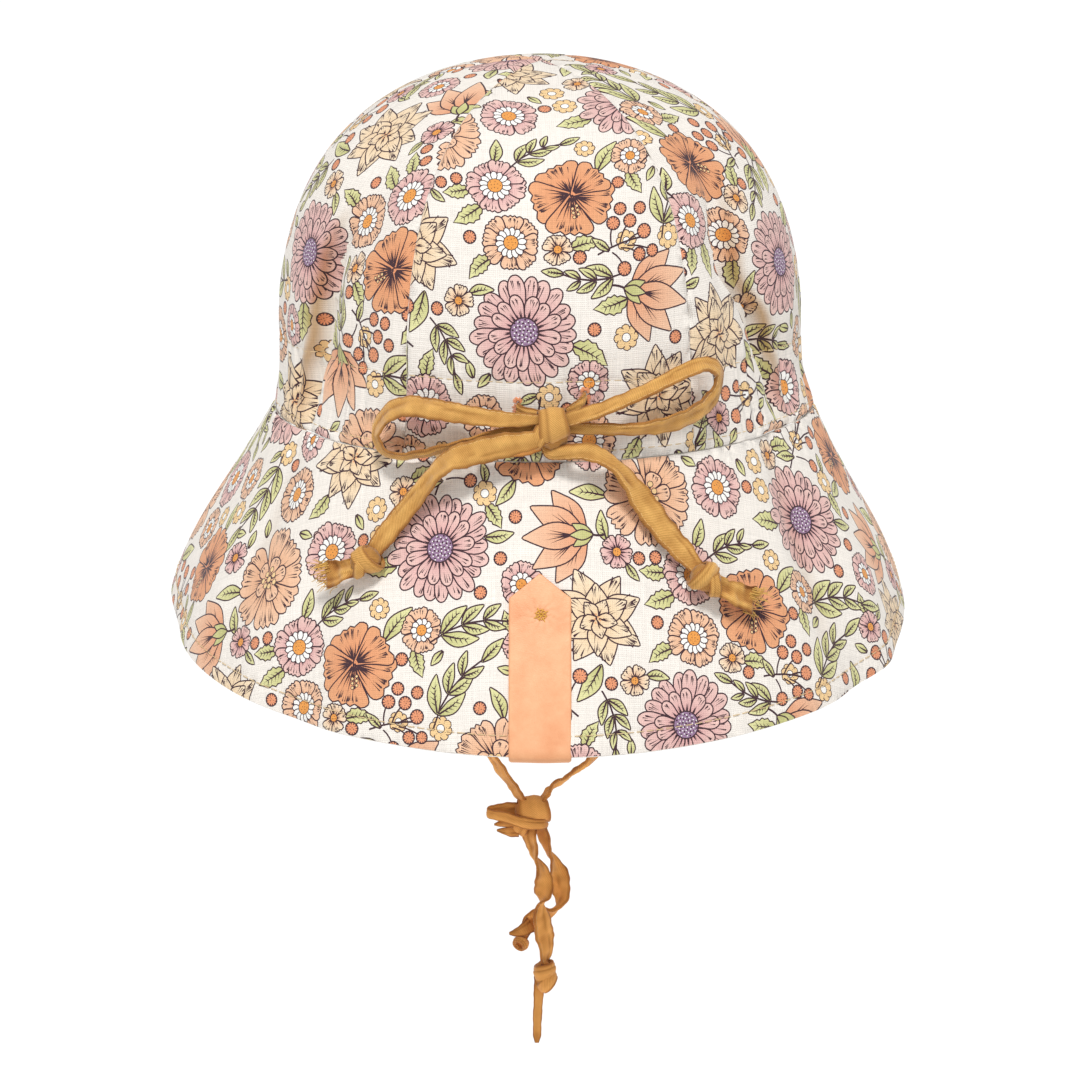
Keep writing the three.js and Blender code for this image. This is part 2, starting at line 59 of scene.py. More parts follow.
def make_camera():
    """Behind the hat and a little above it, turned to LOOK_AT."""
    data = bpy.data.cameras.new("camera")
    data.sensor_width = SENSOR
    data.lens = SENSOR * CAMERA_DISTANCE / FRAME_WIDTH
    camera = bpy.data.objects.new("camera", data)
    bpy.context.collection.objects.link(camera)
    elevation = math.radians(CAMERA_ELEVATION)
    back = Vector((0, -math.cos(elevation), math.sin(elevation)))
    camera.location = Vector(LOOK_AT) + back * CAMERA_DISTANCE
    camera.rotation_euler = (math.radians(90 - CAMERA_ELEVATION), 0, 0)
    bpy.context.scene.camera = camera


make_camera()

# ---- colours and materials ----


def linear(text):
    """A colour of the print or of a finish, from its hexadecimal sRGB text to linear RGBA."""
    levels = [int(text[i : i + 2], 16) / 255 for i in (1, 3, 5)]
    return tuple(v / 12.92 if v <= 0.04045 else ((v + 0.055) / 1.055) ** 2.4 for v in levels) + (1.0,)


def node(tree, kind, inputs=None, **settings):
    """A shader node with its settings; inputs holds sockets to link or plain values."""
    made = tree.nodes.new(kind)
    for key, value in settings.items():
        setattr(made, key, value)
    for key, value in (inputs or {}).items():
        if isinstance(value, bpy.types.NodeSocket):
            tree.links.new(value, made.inputs[key])
        else:
            made.inputs[key].default_value = value
    return made


def new_material(name, roughness, **settings):
    """A material, its node tree and its shader. settings are the shader's own sockets."""
    made = bpy.data.materials.new(name)
    made.use_nodes = True
    shader = made.node_tree.nodes["Principled BSDF"]
    shader.inputs["Roughness"].default_value = roughness
    for key, value in settings.items():
        shader.inputs[key.replace("_", " ")].default_value = value
    return made, made.node_tree, shader


def noise(tree, place, scale, detail, **more):
    """Soft uneven spots."""
    inputs = {"Vector": place, "Scale": scale, "Detail": detail, **more}
    return node(tree, "ShaderNodeTexNoise", inputs).outputs[0]


def ranged(tree, value, low, high, to_low=0.0, to_high=1.0):
    """A value that runs from low to high, moved to another range."""
    inputs = {"Value": value, "From Min": low, "From Max": high, "To Min": to_low, "To Max": to_high}
    return node(tree, "ShaderNodeMapRange", inputs).outputs[0]


def combined(tree, a, b, operation="ADD"):
    """The sum of two values, or their product."""
    return node(tree, "ShaderNodeMath", {0: a, 1: b}, operation=operation).outputs[0]


def mixed(tree, factor, first, second, blend="MIX"):
    """Two colours mixed by a factor."""
    inputs = {"Factor": factor, 6: first, 7: second}
    return node(tree, "ShaderNodeMix", inputs, data_type="RGBA", blend_type=blend).outputs[2]


def stored(tree, layer):
    """A colour that the mesh holds."""
    return node(tree, "ShaderNodeVertexColor", layer_name=layer).outputs[0]


def bands(tree, uv, pitch, direction, distortion, detail):
    """Light and dark bands at a pitch in millimetres, which wander a little."""
    inputs = {"Vector": uv, "Scale": ONE_BAND / pitch, "Distortion": distortion}
    inputs |= {"Detail": detail, "Detail Scale": detail}
    return node(tree, "ShaderNodeTexWave", inputs, bands_direction=direction).outputs["Fac"]


def thread_shade(tree, across, along, uv, seed):
    """Long soft streaks that run along a thread: uneven yarn."""
    inputs = {"Vector": uv, "Scale": (across, along, 1), "Location": (seed, seed, 0)}
    return noise(tree, node(tree, "ShaderNodeMapping", inputs).outputs[0], 1, 3)


def weave(tree, pitch):
    """A plain weave at a pitch in millimetres: (height, shade)."""
    uv = node(tree, "ShaderNodeUVMap", uv_map="cloth").outputs[0]
    warps, wefts = [bands(tree, uv, pitch, direction, 1.2, 1.5) for direction in ("X", "Y")]
    slubs = combined(tree, thread_shade(tree, 1.9, 0.09, uv, 0), thread_shade(tree, 0.09, 1.9, uv, 40))
    return combined(tree, warps, wefts, "MULTIPLY"), slubs


def tinted(tree, colour, factor, low, high):
    """The colour times a grey that follows factor from low to high."""
    level = ranged(tree, factor, 0.6, 1.4, low, high)
    grey = node(tree, "ShaderNodeCombineColor", {0: level, 1: level, 2: level}).outputs[0]
    return mixed(tree, 1.0, colour, grey, "MULTIPLY")


def bumped(tree, shader, height, distance):
    """Fine relief of a height from 0 to 1, a distance in millimetres high."""
    bump = node(tree, "ShaderNodeBump", {"Height": height, "Distance": distance * MM, "Strength": 1.0})
    tree.links.new(bump.outputs[0], shader.inputs["Normal"])


def with_shading_and_edges(tree, colour):
    """The colour times the tint that the mesh holds: painted shade in its folds and creases, painted light
    on crests, and darker edges.
    """
    return mixed(tree, 1.0, colour, stored(tree, "shading_and_edges"), "MULTIPLY")


def linen(name, roughness, shade, low, high, relief):
    """Plain-woven linen in one shade, or where that is None in the colours that the mesh holds: its print,
    darkened by painted shade in the creases.
    """
    made, tree, shader = new_material(name, roughness, Sheen_Weight=0.15, Sheen_Roughness=0.4)
    height, slubs = weave(tree, LINEN_PITCH)
    colour = linear(shade) if shade else stored(tree, "print")
    tree.links.new(tinted(tree, colour, slubs, low, high), shader.inputs["Base Color"])
    bumped(tree, shader, height, relief)
    return made


def tape_cloth(name, shade, deep):
    """Twill tape: fine slanting ribs, with the dye uneven along it."""
    made, tree, shader = new_material(name, 0.82, Sheen_Weight=0.3, Sheen_Roughness=0.35)
    uv = node(tree, "ShaderNodeUVMap", uv_map="cloth").outputs[0]
    mottle, fine = noise(tree, uv, 0.22, 4), noise(tree, uv, 2.4, 2)
    depth = combined(tree, bands(tree, uv, TWILL_PITCH, "DIAGONAL", 1.0, 2.0), fine)
    share = ranged(tree, combined(tree, depth, mottle), 0.4, 2.2)
    dye = mixed(tree, share, linear(deep), linear(shade))
    tree.links.new(with_shading_and_edges(tree, dye), shader.inputs["Base Color"])
    bumped(tree, shader, depth, 0.1)
    return made


def thread(name, shade):
    """Sewing thread, a little uneven in its shade."""
    made, tree, shader = new_material(name, 0.6, Sheen_Weight=0.2)
    place = node(tree, "ShaderNodeTexCoord").outputs["Object"]
    level = ranged(tree, noise(tree, place, 900, 2), 0, 1, 0.6, 1.4)
    tree.links.new(tinted(tree, linear(shade), level, 0.8, 1.1), shader.inputs["Base Color"])
    return made


def tag_leather():
    """Undyed leather: a fine pebbled grain, with soft blotches."""
    made, tree, shader = new_material("tag_leather", 0.5)
    place = node(tree, "ShaderNodeTexCoord").outputs["Object"]
    grain = node(tree, "ShaderNodeTexVoronoi", {"Vector": place, "Scale": 2600}).outputs["Distance"]
    blotch = noise(tree, place, 130, 6, Roughness=0.65)
    hide = mixed(tree, ranged(tree, blotch, 0.3, 0.7), linear("#e9a173"), linear("#f5ba8d"))
    tree.links.new(with_shading_and_edges(tree, hide), shader.inputs["Base Color"])
    bumped(tree, shader, combined(tree, grain, blotch), 0.06)
    return made


ONE_BAND = 0.314  # scales the bands to lie a millimetre apart
LINEN_PITCH = 0.62  # of the linen's threads
TWILL_PITCH = 0.34  # of the tape's ribs
PRINTED = linen("printed_linen", 0.85, None, 0.82, 1.05, 0.11)
LINING = linen("plain_linen", 0.88, "#f4ede2", 0.86, 1.03, 0.09)
MUSTARD = tape_cloth("mustard_tape", "#e2aa5c", "#a8752c")
LIGHTENED_TAPE = tape_cloth("chin_tape", "#f6ae5a", "#cc843a")  # a lighter, more orange copy of the mustard tape, for the chin ties and the knot's back strand: its added lightness is painted light that makes up for the hat's shade over them
LEATHER = tag_leather()

# ---- meshes ----


def new_object(name, points, faces, materials):
    """A smooth mesh from points in millimetres."""
    mesh = bpy.data.meshes.new(name)
    places = (np.asarray(points, float) * MM).tolist()
    mesh.from_pydata(places, [], [list(map(int, face)) for face in faces])
    for material in materials:
        mesh.materials.append(material)
    mesh.shade_smooth()
    made = bpy.data.objects.new(name, mesh)
    bpy.context.collection.objects.link(made)
    return made


def give_uv(mesh, name, uv_of_corner):
    """A UV map from a pair of numbers for each face corner."""
    layer = mesh.uv_layers.new(name=name)
    layer.data.foreach_set("uv", np.asarray(uv_of_corner, float).ravel())


def corner_points(mesh):
    """The number of the point at each face corner."""
    index = np.zeros(len(mesh.loops), int)
    mesh.loops.foreach_get("vertex_index", index)
    return index


def tube_faces(rings, sides, start=0, closed=False):
    """Quads between rings of points; start is the number of the first point."""
    faces = []
    for j in range(rings if closed else rings - 1):
        near, far = start + j * sides, start + (j + 1) % rings * sides
        for i in range(sides):
            k = (i + 1) % sides
            faces.append((near + i, near + k, far + k, far + i))
    return faces


def unit(vectors):
    """The vectors at a length of 1."""
    return vectors / np.maximum(np.linalg.norm(vectors, axis=-1, keepdims=True), 1e-9)


def run_along(points):
    """How far along the line through the points each one is."""
    return np.concatenate([[0], np.cumsum(np.linalg.norm(np.diff(points, axis=0), axis=1))])


def column_at(rows, height, column):
    """A column's value at each height, eased from row to row."""
    rows = np.array(rows, float)
    i = np.clip(np.searchsorted(rows[:, 0], height), 1, len(rows) - 1)
    share = np.clip((height - rows[i - 1, 0]) / (rows[i, 0] - rows[i - 1, 0]), 0, 1)
    share = share * share * (3 - 2 * share)
    return rows[i - 1, column] * (1 - share) + rows[i, column] * share


TOP_SPEED = 1.5  # the greatest speed at a row, as a share of the stretch's length


def along_rows(rows, steps):
    """A smooth curve through rows of numbers, with that many steps for each row. The first three numbers
    are a place. Where a short stretch meets a long one the curve slows down, so that it doesn't run past
    the row and back."""
    rows = np.array(rows, float)
    padded = np.vstack([2 * rows[0] - rows[1], rows, 2 * rows[-1] - rows[-2]])
    slopes = (padded[2:] - padded[:-2]) / 2
    t = (np.arange(steps) / steps)[:, None]
    eased = 3 * t**2 - 2 * t**3
    made = []
    for k, (a, b) in enumerate(zip(rows, rows[1:])):
        most = TOP_SPEED * np.linalg.norm(b[:3] - a[:3])
        leaving, arriving = [by * min(1, most / np.linalg.norm(by[:3])) for by in slopes[k : k + 2]]
        straight = a * (1 - eased) + b * eased
        made.append(straight + leaving * (t - 2 * t**2 + t**3) + arriving * (t**3 - t**2))
    return np.concatenate(made + [rows[-1:]])


# ---- tapes ----

TAPE_THICK = 1.1
TAPE_SEAM = 0.74  # where the seam runs, as a share of the half-width
TAPE_CUP = 0.05  # how far a tape's edges bend back, as a share of its width
BOW_WIDTH = 7.8
CHIN_WIDTH = 6.2

# A point, the way the tape's face looks there, and its width.
ROUTES = {
    "bow_root_left": (
        (-6.5, -89.3, 15.6, -1, 0, 0, 3.2),
        (-6.4, -91.2, 15.5, -1, 0, 0, 3.2),
        (-4.6, -92.6, 14.8, -0.8, -0.6, 0, 3.0),
        (0, -93.2, 14.2, 0, -1, 0, 2.8),
    ),
    "bow_root_right": (
        (13.4, -88.3, 18.7, 1, 0, 0, 3.2),
        (13.3, -90.6, 18.5, 1, 0, 0, 3.2),
        (11.8, -92.0, 17.2, 0.6, -0.8, 0, 3.0),
        (7.8, -93.2, 14.6, 0.2, -0.95, 0.1, 2.8),
    ),
    "bow_loop_left": (
        (-0.9, -96.7, 13.3, 0, -1, 0, 3.6),
        (-10.4, -96.4, 13.4, 0, -1, 0.2, 4.8),
        (-20.8, -93.9, 14.2, 0, -1, 0.35, 5.8),
        (-31.2, -90.0, 15.3, 0, -0.9, 0.5, 6.6),
        (-40.2, -85.4, 15.4, -0.3, -0.8, 0.6, 6.8),
        (-46.4, -82.2, 11.6, -0.8, -0.5, 0.3, 6.2),
        (-49.2, -81.0, 5.6, -1, -0.4, 0, 6),
        (-47.0, -82.3, 1.2, -0.6, -0.4, -0.7, 6),
        (-42.5, -85.2, -0.3, 0, -0.45, -0.9, 6.4),
        (-34.0, -89.0, 1.4, 0, -0.45, -0.9, 6.6),
        (-25.0, -92.0, 4.4, 0, -0.5, -0.85, 6),
        (-12.0, -94.2, 8.0, 0, -0.8, -0.5, 5),
        (-0.9, -94.4, 9.6, 0, -1, 0, 4.4),
    ),
    "bow_loop_right": (
        (8.8, -96.9, 13.6, 0, -1, 0.1, 4.4),
        (17.8, -96.0, 16.3, 0, -0.8, 0.6, 4.8),
        (29.7, -91.7, 20.6, 0, -0.6, 0.8, 5.0),
        (41.7, -85.2, 25.2, 0.1, -0.55, 0.8, 5.4),
        (49.2, -79.8, 27.0, 0.3, -0.5, 0.8, 5.8),
        (53.4, -76.5, 24.4, 1, -0.4, 0.3, 6.6),
        (53.2, -76.0, 19.0, 1, -0.5, -0.2, 6.6),
        (49.6, -78.6, 13.8, 0.5, -0.75, -0.4, 7),
        (41.7, -84.4, 10.6, 0.2, -0.85, -0.45, 6.8),
        (29.7, -90.2, 9.2, 0, -0.85, -0.4, 4.6),
        (17.8, -93.4, 9.8, 0, -0.95, -0.2, 3.8),
        (8.8, -94.4, 10.2, 0, -1, 0, 3.6),
    ),
    "bow_tail_left": (
        (-0.4, -98.4, 7.9, 0, -1, 0, 5),
        (-6.0, -98.6, 6.8, 0, -1, 0.1, 6.4),
        (-12.0, -98.4, 5.6, 0, -1, 0.1, BOW_WIDTH),
        (-20.8, -97.9, 3.4, 0, -0.95, 0.3, BOW_WIDTH),
        (-27.2, -96.8, 1.0, -0.4, -0.8, 0.5, 7),
        (-31.8, -94.9, -3.6, -0.8, -0.55, 0.1, 6.2),
        (-38.0, -93.0, -12.0, -0.35, -0.85, 0.4, 6.4),
        (-44.6, -93.2, -20.2, -0.2, -0.85, 0.45, 6.6),
        (-49.0, -94.6, -26.0, -0.2, -0.9, 0.45, 5.6),
    ),
    "bow_tail_right": (
        (3.4, -96.6, 3.1, 0, -1, 0, 4),
        (8.8, -97.8, 3.8, 0, -1, 0, 4.8),
        (14.6, -98.0, 3.9, 0.1, -0.95, 0.2, 5.4),
        (20.8, -96.9, 0.9, 0.4, -0.5, 0.75, 6.2),
        (26.1, -96.2, -4.6, 0.7, -0.6, 0.35, 7),
        (31.2, -95.9, -12.3, 0.2, -0.85, 0.4, BOW_WIDTH),
        (37.2, -96.6, -20.2, 0.2, -0.85, 0.45, BOW_WIDTH),
        (42.6, -97.2, -26.4, 0.2, -0.85, 0.45, 7),
        (46.3, -98.5, -30.6, 0.2, -0.9, 0.45, 5),
    ),
    "chin_strap_left": (
        (-77.9, 0, 9, -1, 0, 0, CHIN_WIDTH),
        (-77.6, 0, -1, -1, 0, 0, CHIN_WIDTH),
        (-71.5, 0, -12, -0.9, 0, 0.4, CHIN_WIDTH),
        (-56, 0, -40, -0.9, -0.1, 0.4, CHIN_WIDTH),
        (-38, 0, -72, -0.85, -0.3, 0.4, CHIN_WIDTH),
        (-14.7, 0, -113.1, -0.8, -0.5, -0.4, CHIN_WIDTH),
        (-10.6, 0, -119.5, -0.7, -0.5, -0.5, CHIN_WIDTH),
        (-7.6, 0, -123.9, -0.7, -0.5, -0.5, 5.6),
        (-5.7, 0, -126.8, -0.7, -0.6, -0.4, 4.4),
    ),
    "chin_strap_right": (
        (77.9, 0, 9, 1, 0, 0, CHIN_WIDTH),
        (77.6, 0, -1, 1, 0, 0, CHIN_WIDTH),
        (72, 0, -12, 0.9, 0, 0.4, CHIN_WIDTH),
        (57.5, 0, -40, 0.85, -0.2, 0.4, CHIN_WIDTH),
        (40, 0, -72, 0.7, -0.5, 0.4, CHIN_WIDTH),
        (16.2, 0, -113.4, 0.6, -0.45, -0.65, 5.6),
        (12.8, 0, -116.3, 0.6, -0.4, -0.7, 5),
        (8.7, 0, -119.2, 0.6, -0.25, -0.8, 4.6),
        (5.3, 0, -121.5, 0.5, -0.5, -0.7, 4.6),
        (2.8, 0, -123.9, 0.7, 0.2, -0.6, 4.8),
        (0.9, 0, -126.4, 0.8, 0.3, -0.6, 4.2),
    ),
    "chin_tail_left": (
        (-3.3, -1.2, -137.7, -0.5, -0.9, 0, 5),
        (-2.5, -1.5, -141.3, -0.7, -0.7, -0.1, 5),
        (-1.6, -1.8, -144.5, -0.9, -0.2, -0.3, 4.8),
        (0.2, -2, -148.6, -0.8, 0.6, -0.3, 5.4),
        (1.1, -2.2, -152.8, -0.2, 1, 0, CHIN_WIDTH),
        (1.1, -2.2, -156.6, 0.6, 0.8, -0.1, 6),
        (0.3, -2.4, -160.1, 0.9, -0.4, 0, 4.8),
        (0.8, -2.6, -164, 0.5, -0.85, 0.1, 6),
        (1.3, -2.2, -168.3, 0.3, -0.9, -0.1, CHIN_WIDTH),
        (1.9, -1.2, -173.4, 0.5, -0.8, -0.1, 5.6),
        (1.6, -0.7, -178.6, 0.9, -0.5, -0.1, 4),
    ),
    "chin_tail_right": (
        (0.6, 1.6, -137.2, -0.6, -0.8, -0.1, 4.6),
        (1.6, 1.6, -140.8, -0.8, -0.6, -0.3, 4.8),
        (2.8, 2, -144.5, -0.9, -0.1, -0.4, 5),
        (4.2, 2.6, -147.5, -0.8, 0.5, -0.3, 5.6),
        (5.8, 2.8, -151.5, -0.3, 0.9, -0.1, CHIN_WIDTH),
        (6.6, 2.6, -155.6, 0.2, 1, 0, CHIN_WIDTH),
        (6.6, 2.6, -159.2, 0.7, 0.7, -0.1, 5.6),
        (5, 2.8, -162.3, 0.7, -0.2, -0.7, 4.6),
        (2.2, 3.8, -163.9, 0.1, -0.8, -0.5, 5),
        (-0.9, 4, -165.1, 0.3, -1, -0.1, 5.4),
        (-3.3, 2.6, -167.3, 0.3, -0.9, 0.3, 4.8),
        (-5.3, 0.8, -171.3, 0.1, -0.9, 0.4, 2.6),
    ),
}
RING = 36  # points round a tape's section


def tape_section():
    """Half-width and half-thickness shares round a folded tape with rounded edges."""
    angle = (np.arange(RING) + 0.5) * math.tau / RING
    across = np.sign(np.cos(angle)) * abs(np.cos(angle)) ** 0.7
    height = np.sign(np.sin(angle)) * abs(np.sin(angle)) ** 0.4
    return across, height


def crumples(across, run, amount, seed):
    """Small lengthwise folds and dents of a worn tape."""
    folds = np.sin(across * 3.4 + run * 0.16 + seed) * 0.5
    folds = folds + np.sin(across * 6.1 - run * 0.31 + 2 * seed) * 0.34
    dents = np.sin(run * 0.83 + 1.7 * seed + across) * 0.36
    dents = dents + np.sin(run * 1.9 - across * 2 + seed) * 0.2
    return amount * (folds + dents)


def pleat_at(across, run, seed):
    """A sharp lengthwise fold that wanders across the tape, and the seams near its edges, from 0 to 1."""
    place = 0.35 * np.sin(run * 0.07 + 2 * seed) + 0.12 * np.sin(run * 0.31 + seed)
    fold = np.exp(-(((across - place) / 0.1) ** 2)) * (0.6 + 0.4 * np.sin(run * 0.23 + 3 * seed))
    return fold, np.exp(-(((abs(across) - TAPE_SEAM) / 0.08) ** 2))


def tucked(rows, start, end):
    """The route with its ends run on by so much, into the knot or the cloth there."""
    rows = [list(row) for row in rows]
    for last, by in ((0, start), (-1, end)):
        if by:
            row = [*(np.array(rows[last][:3]) + by), *rows[last][3:6], rows[last][6] * 0.9]
            rows = [row] + rows if last == 0 else rows + [row]
    return rows


def tape(name, rows, material, steps=8, cup=TAPE_CUP, crumple=0.3, seed=0.0):
    """A flat tape along a route; returns the object and the points that it follows, in millimetres."""
    line = along_rows(rows, steps)
    centre, look, width = line[:, :3], line[:, 3:6], line[:, 6]
    return tape_along(name, centre, look, width, material, cup, crumple, seed), centre


def strip(name, rows, material, **bends):
    """A short tape that nothing else follows."""
    return tape(name, rows, material, **bends)[0]


def tape_frame(centre, look, closed=False):
    """The way across a tape and out of its face at each point, and how far along each point is."""
    if closed:
        ahead = np.roll(centre, -1, axis=0) - np.roll(centre, 1, axis=0)
    else:
        ahead = np.gradient(centre, axis=0)
    tangent = unit(ahead)
    side = unit(np.cross(tangent, look))
    return side, np.cross(side, tangent), run_along(centre)


def tape_lift(across, run, width, cup, crumple, seed, closed=False):
    """How far a tape's middle layer stands off its route, at shares across it, and the painted shading
    there.
    """
    fade = np.ones(len(run)) if closed else np.clip(np.minimum(run, run[-1] - run) / 3, 0, 1)
    along = run[:, None] * (0 if closed else 1)
    wave = crumples(across[None, :], along, crumple, seed) * fade[:, None]
    fold, seam = pleat_at(across[None, :], along, seed)
    lift = wave - cup * width[:, None] * across[None, :] ** 2 - 0.45 * fold - 0.15 * seam
    edge = np.clip((abs(across[None, :]) - 0.68) / 0.22, 0, 1)
    ends = np.zeros(len(run)) if closed else np.exp(-(np.minimum(run, run[-1] - run) / 3) ** 2)
    # painted shade in the pleat, the crumples' hollows and the tucked ends, painted light on the crests;
    # darker along the edges
    shading_and_edges = 1.04 - 0.42 * edge - 0.36 * fold + 0.4 * wave - 0.3 * ends[:, None]
    return lift, np.clip(shading_and_edges, 0.28, 1.2)


def half_widths(run, width, seed, closed=False):
    """Half a tape's width at each point, its edges not quite even."""
    uneven_edge = 1 + 0.05 * np.sin(run * 0.9 + 3 * seed) + 0.03 * np.sin(run * 2.3 + seed)
    return width / 2 * (1 if closed else uneven_edge)


def store_shading_and_edges(mesh, shading_and_edges):
    """Stores the painted shading and the darker edges at each face corner, as a warm tint for the material.
    """
    shading_and_edges = np.asarray(shading_and_edges, float)
    tint = np.stack([shading_and_edges, shading_and_edges**1.4, shading_and_edges**2, np.ones(len(shading_and_edges))], 1)
    mesh.color_attributes.new("shading_and_edges", "FLOAT_COLOR", "CORNER").data.foreach_set("color", tint.ravel())


def tape_along(name, centre, look, width, material, cup, crumple, seed, closed=False):
    """A flat tape along close points. look is the way its face turns, and cup and crumple say how far it
    bends."""
    side, face, run = tape_frame(centre, look, closed)
    across, height = tape_section()
    lift, shading_and_edges = tape_lift(across, run, width, cup, crumple, seed, closed)
    lift = lift + TAPE_THICK / 2 * height[None, :]
    half = half_widths(run, width, seed, closed)
    points = centre[:, None] + side[:, None] * (across[None, :] * half[:, None])[:, :, None]
    points = points + face[:, None] * lift[:, :, None]
    rings = len(centre)
    run = np.append(run, run[-1] + np.linalg.norm(centre[-1] - centre[0]))
    faces = tube_faces(rings, RING, closed=closed)
    uv = []
    for quad in faces:
        j, i = divmod(quad[0], RING)
        near, far = across[i] * width[j] / 2, across[quad[1] % RING] * width[j] / 2
        uv += [(near, run[j]), (far, run[j]), (far, run[j + 1]), (near, run[j + 1])]
    if not closed:
        faces.append(range(RING)[::-1])
        faces.append(range((rings - 1) * RING, rings * RING))
        uv += [(across[i] * width[0] / 2, -height[i]) for i in range(RING)[::-1]]
        uv += [(across[i] * width[-1] / 2, run[rings - 1] + height[i]) for i in range(RING)]
    made = new_object(name, points.reshape(-1, 3), faces, [material])
    give_uv(made.data, "cloth", uv)
    store_shading_and_edges(made.data, shading_and_edges.ravel()[corner_points(made.data)])
    return made


TUCKED = {  # how each end is run on into the knot or the cloth there
    "bow_root_left": ((0, 2.5, 0), (1.8, 0.4, -0.6)),
    "bow_root_right": ((0, 2.5, 0), (-1.8, 0.4, -0.6)),
    "bow_loop_left": ((2.4, 0, -0.2), (2.4, 0, 0.3)),
    "bow_loop_right": ((-2.4, 0, -0.4), (-2.4, 0, 0.2)),
    "bow_tail_left": ((2.6, 0.4, 0.9), (-1.2, 0, -1.2)),
    "bow_tail_right": ((-1.6, 1.2, 2.8), (1.2, 0, -1.2)),
    "chin_strap_left": (None, (1.6, 0, -2.6)),
    "chin_strap_right": (None, (-1.4, 0, -2.6)),
    "chin_tail_left": ((0.2, 0.6, 3.2), (-0.2, 0, -1.6)),
    "chin_tail_right": ((-0.6, -0.6, 3.0), None),
}
# the chin's tape is the lightened copy, whose extra lightness is painted light
TAPE_MATERIAL = {"bow": MUSTARD, "chin": LIGHTENED_TAPE}
CRUMPLE = {"bow": 0.34, "chin": 0.42}


def tape_steps(name):
    """Steps for each row of a route: the straps' rows lie far apart."""
    return 24 if "strap" in name else 8


def tape_seed(name):
    """What makes each tape's folds its own."""
    return 1.3 * list(ROUTES).index(name)


made_tapes, tape_routes = {}, {}
for tape_name, route in ROUTES.items():
    place = tape_name.split("_")[0]
    tape_routes[tape_name] = tucked(route, *TUCKED[tape_name])
    made_tapes[tape_name] = tape(
        tape_name + "_tape",
        tape_routes[tape_name],
        TAPE_MATERIAL[place],
        tape_steps(tape_name),
        crumple=CRUMPLE[place],
        seed=tape_seed(tape_name),
    )

# ---- knots and threads ----


def knot_frame(axis):
    """The unit ways along an axis, to the back of the hat and across."""
    ahead = unit(np.array(axis, float))
    back = unit(np.array([0, -1.0, 0]) - ahead * np.dot(ahead, [0, -1, 0]))
    return ahead, back, np.cross(ahead, back)


def lump(name, centre, size, axis, material):
    """A soft rounded lump: the tape gathered inside a knot. size is along the axis, up and deep."""
    columns, rows = 28, 16
    ahead, back, across = knot_frame(axis)
    points = []
    for j in range(rows + 1):
        lean = math.pi * j / rows
        for i in range(columns):
            turn = math.tau * i / columns
            wave = 1 + 0.05 * math.sin(3 * turn + 2.2 * j) + 0.04 * math.sin(5 * turn - j)
            wide = math.sin(lean) ** 0.75 * wave
            along = ahead * (-math.cos(lean) * size[0] / 2)
            up = across * wide * size[1] / 2 * math.cos(turn)
            deep = back * wide * size[2] / 2 * math.sin(turn)
            points.append(np.array(centre) + along + up + deep)
    made = new_object(name, points, tube_faces(rows + 1, columns), [material])
    index = corner_points(made.data)
    laid = [(i * size[1] * 0.11, j * size[0] / rows) for j in range(rows + 1) for i in range(columns)]
    give_uv(made.data, "cloth", np.array(laid)[index])
    # painted shade: the core gathered inside the knot is darkened all over
    store_shading_and_edges(made.data, np.full(len(index), 0.75))
    return made


WRAP_STEPS = 48  # round a turn of tape


def wrap(name, centre, axis, up, deep, width, material, lean=0.0, crumple=0.25, seed=0.0):
    """A turn of tape round an axis, as wide as width, leaning by lean millimetres along the axis."""
    turn = np.arange(WRAP_STEPS) * math.tau / WRAP_STEPS + math.pi
    ahead, back, across = knot_frame(axis)
    round_off = 1 + 0.03 * np.sin(3 * turn + seed)
    centre_line = (
        np.array(centre, float)
        + back * (deep * np.cos(turn) * round_off)[:, None]
        + across * (up * np.sin(turn) * round_off)[:, None]
        + ahead * (lean * np.sin(turn + 0.4))[:, None]
    )
    look = back * (np.cos(turn) / deep)[:, None] + across * (np.sin(turn) / up)[:, None]
    widths = width * (1 + 0.08 * np.sin(2 * turn + seed))
    return tape_along(name, centre_line, look, widths, material, 0.06, crumple, seed, closed=True)


def strands(name, paths, thick, material, sides=5):
    """Threads along paths, each a list of points in millimetres, thinning a little to the far end."""
    points, faces = [], []
    for path in paths:
        path = np.array(path, float)
        tangent = unit(np.gradient(path, axis=0))
        side = unit(np.cross(tangent, [0.31, -0.87, 0.38]))
        other = np.cross(tangent, side)
        start = len(points)
        for j, centre in enumerate(path):
            radius = thick / 2 * (1 - 0.35 * j / (len(path) - 1))
            for i in range(sides):
                turn = math.tau * i / sides
                points.append(centre + (side[j] * math.cos(turn) + other[j] * math.sin(turn)) * radius)
        faces += tube_faces(len(path), sides, start)
        faces.append([start + i for i in range(sides)][::-1])
        faces.append([start + (len(path) - 1) * sides + i for i in range(sides)])
    return new_object(name, points, faces, [material])


def frayed(name, foot, way, spread, length, count, material, seed):
    """Loose threads that stand out of the cut end of a tape."""
    luck = random.Random(seed)
    foot, way, spread = (np.array(v, float) for v in (foot, way, spread))
    paths = []
    for _ in range(count):
        off = luck.uniform(-1, 1)
        start = foot + spread * off + np.array([luck.uniform(-0.5, 0.5) for _ in range(3)])
        bend = np.array([luck.uniform(-1, 1) for _ in range(3)]) * 0.3
        long = length * luck.uniform(0.35, 1.0)
        tip = way + spread * off * 0.07 + bend
        path = [start - way * 1.5, start, start + tip * long * 0.4]
        path.append(start + tip * long * 0.75 + bend * long * 0.35)
        path.append(start + tip * long + bend * long * 0.8 - np.array([0, 0, 0.06 * long]))
        paths.append(path)
    return strands(name, paths, 0.26, material, 4)


FRAY = thread("loose_thread", "#e0b055")


def slant(made, centre, up, rise):
    """Draws a wrap's lower edge up toward its right end, by a rise for each millimetre."""
    for vertex in made.data.vertices:
        off = vertex.co / MM - Vector(centre)
        if off.z < 0:
            vertex.co.z += rise * off.x * min(1, -off.z / up) * MM


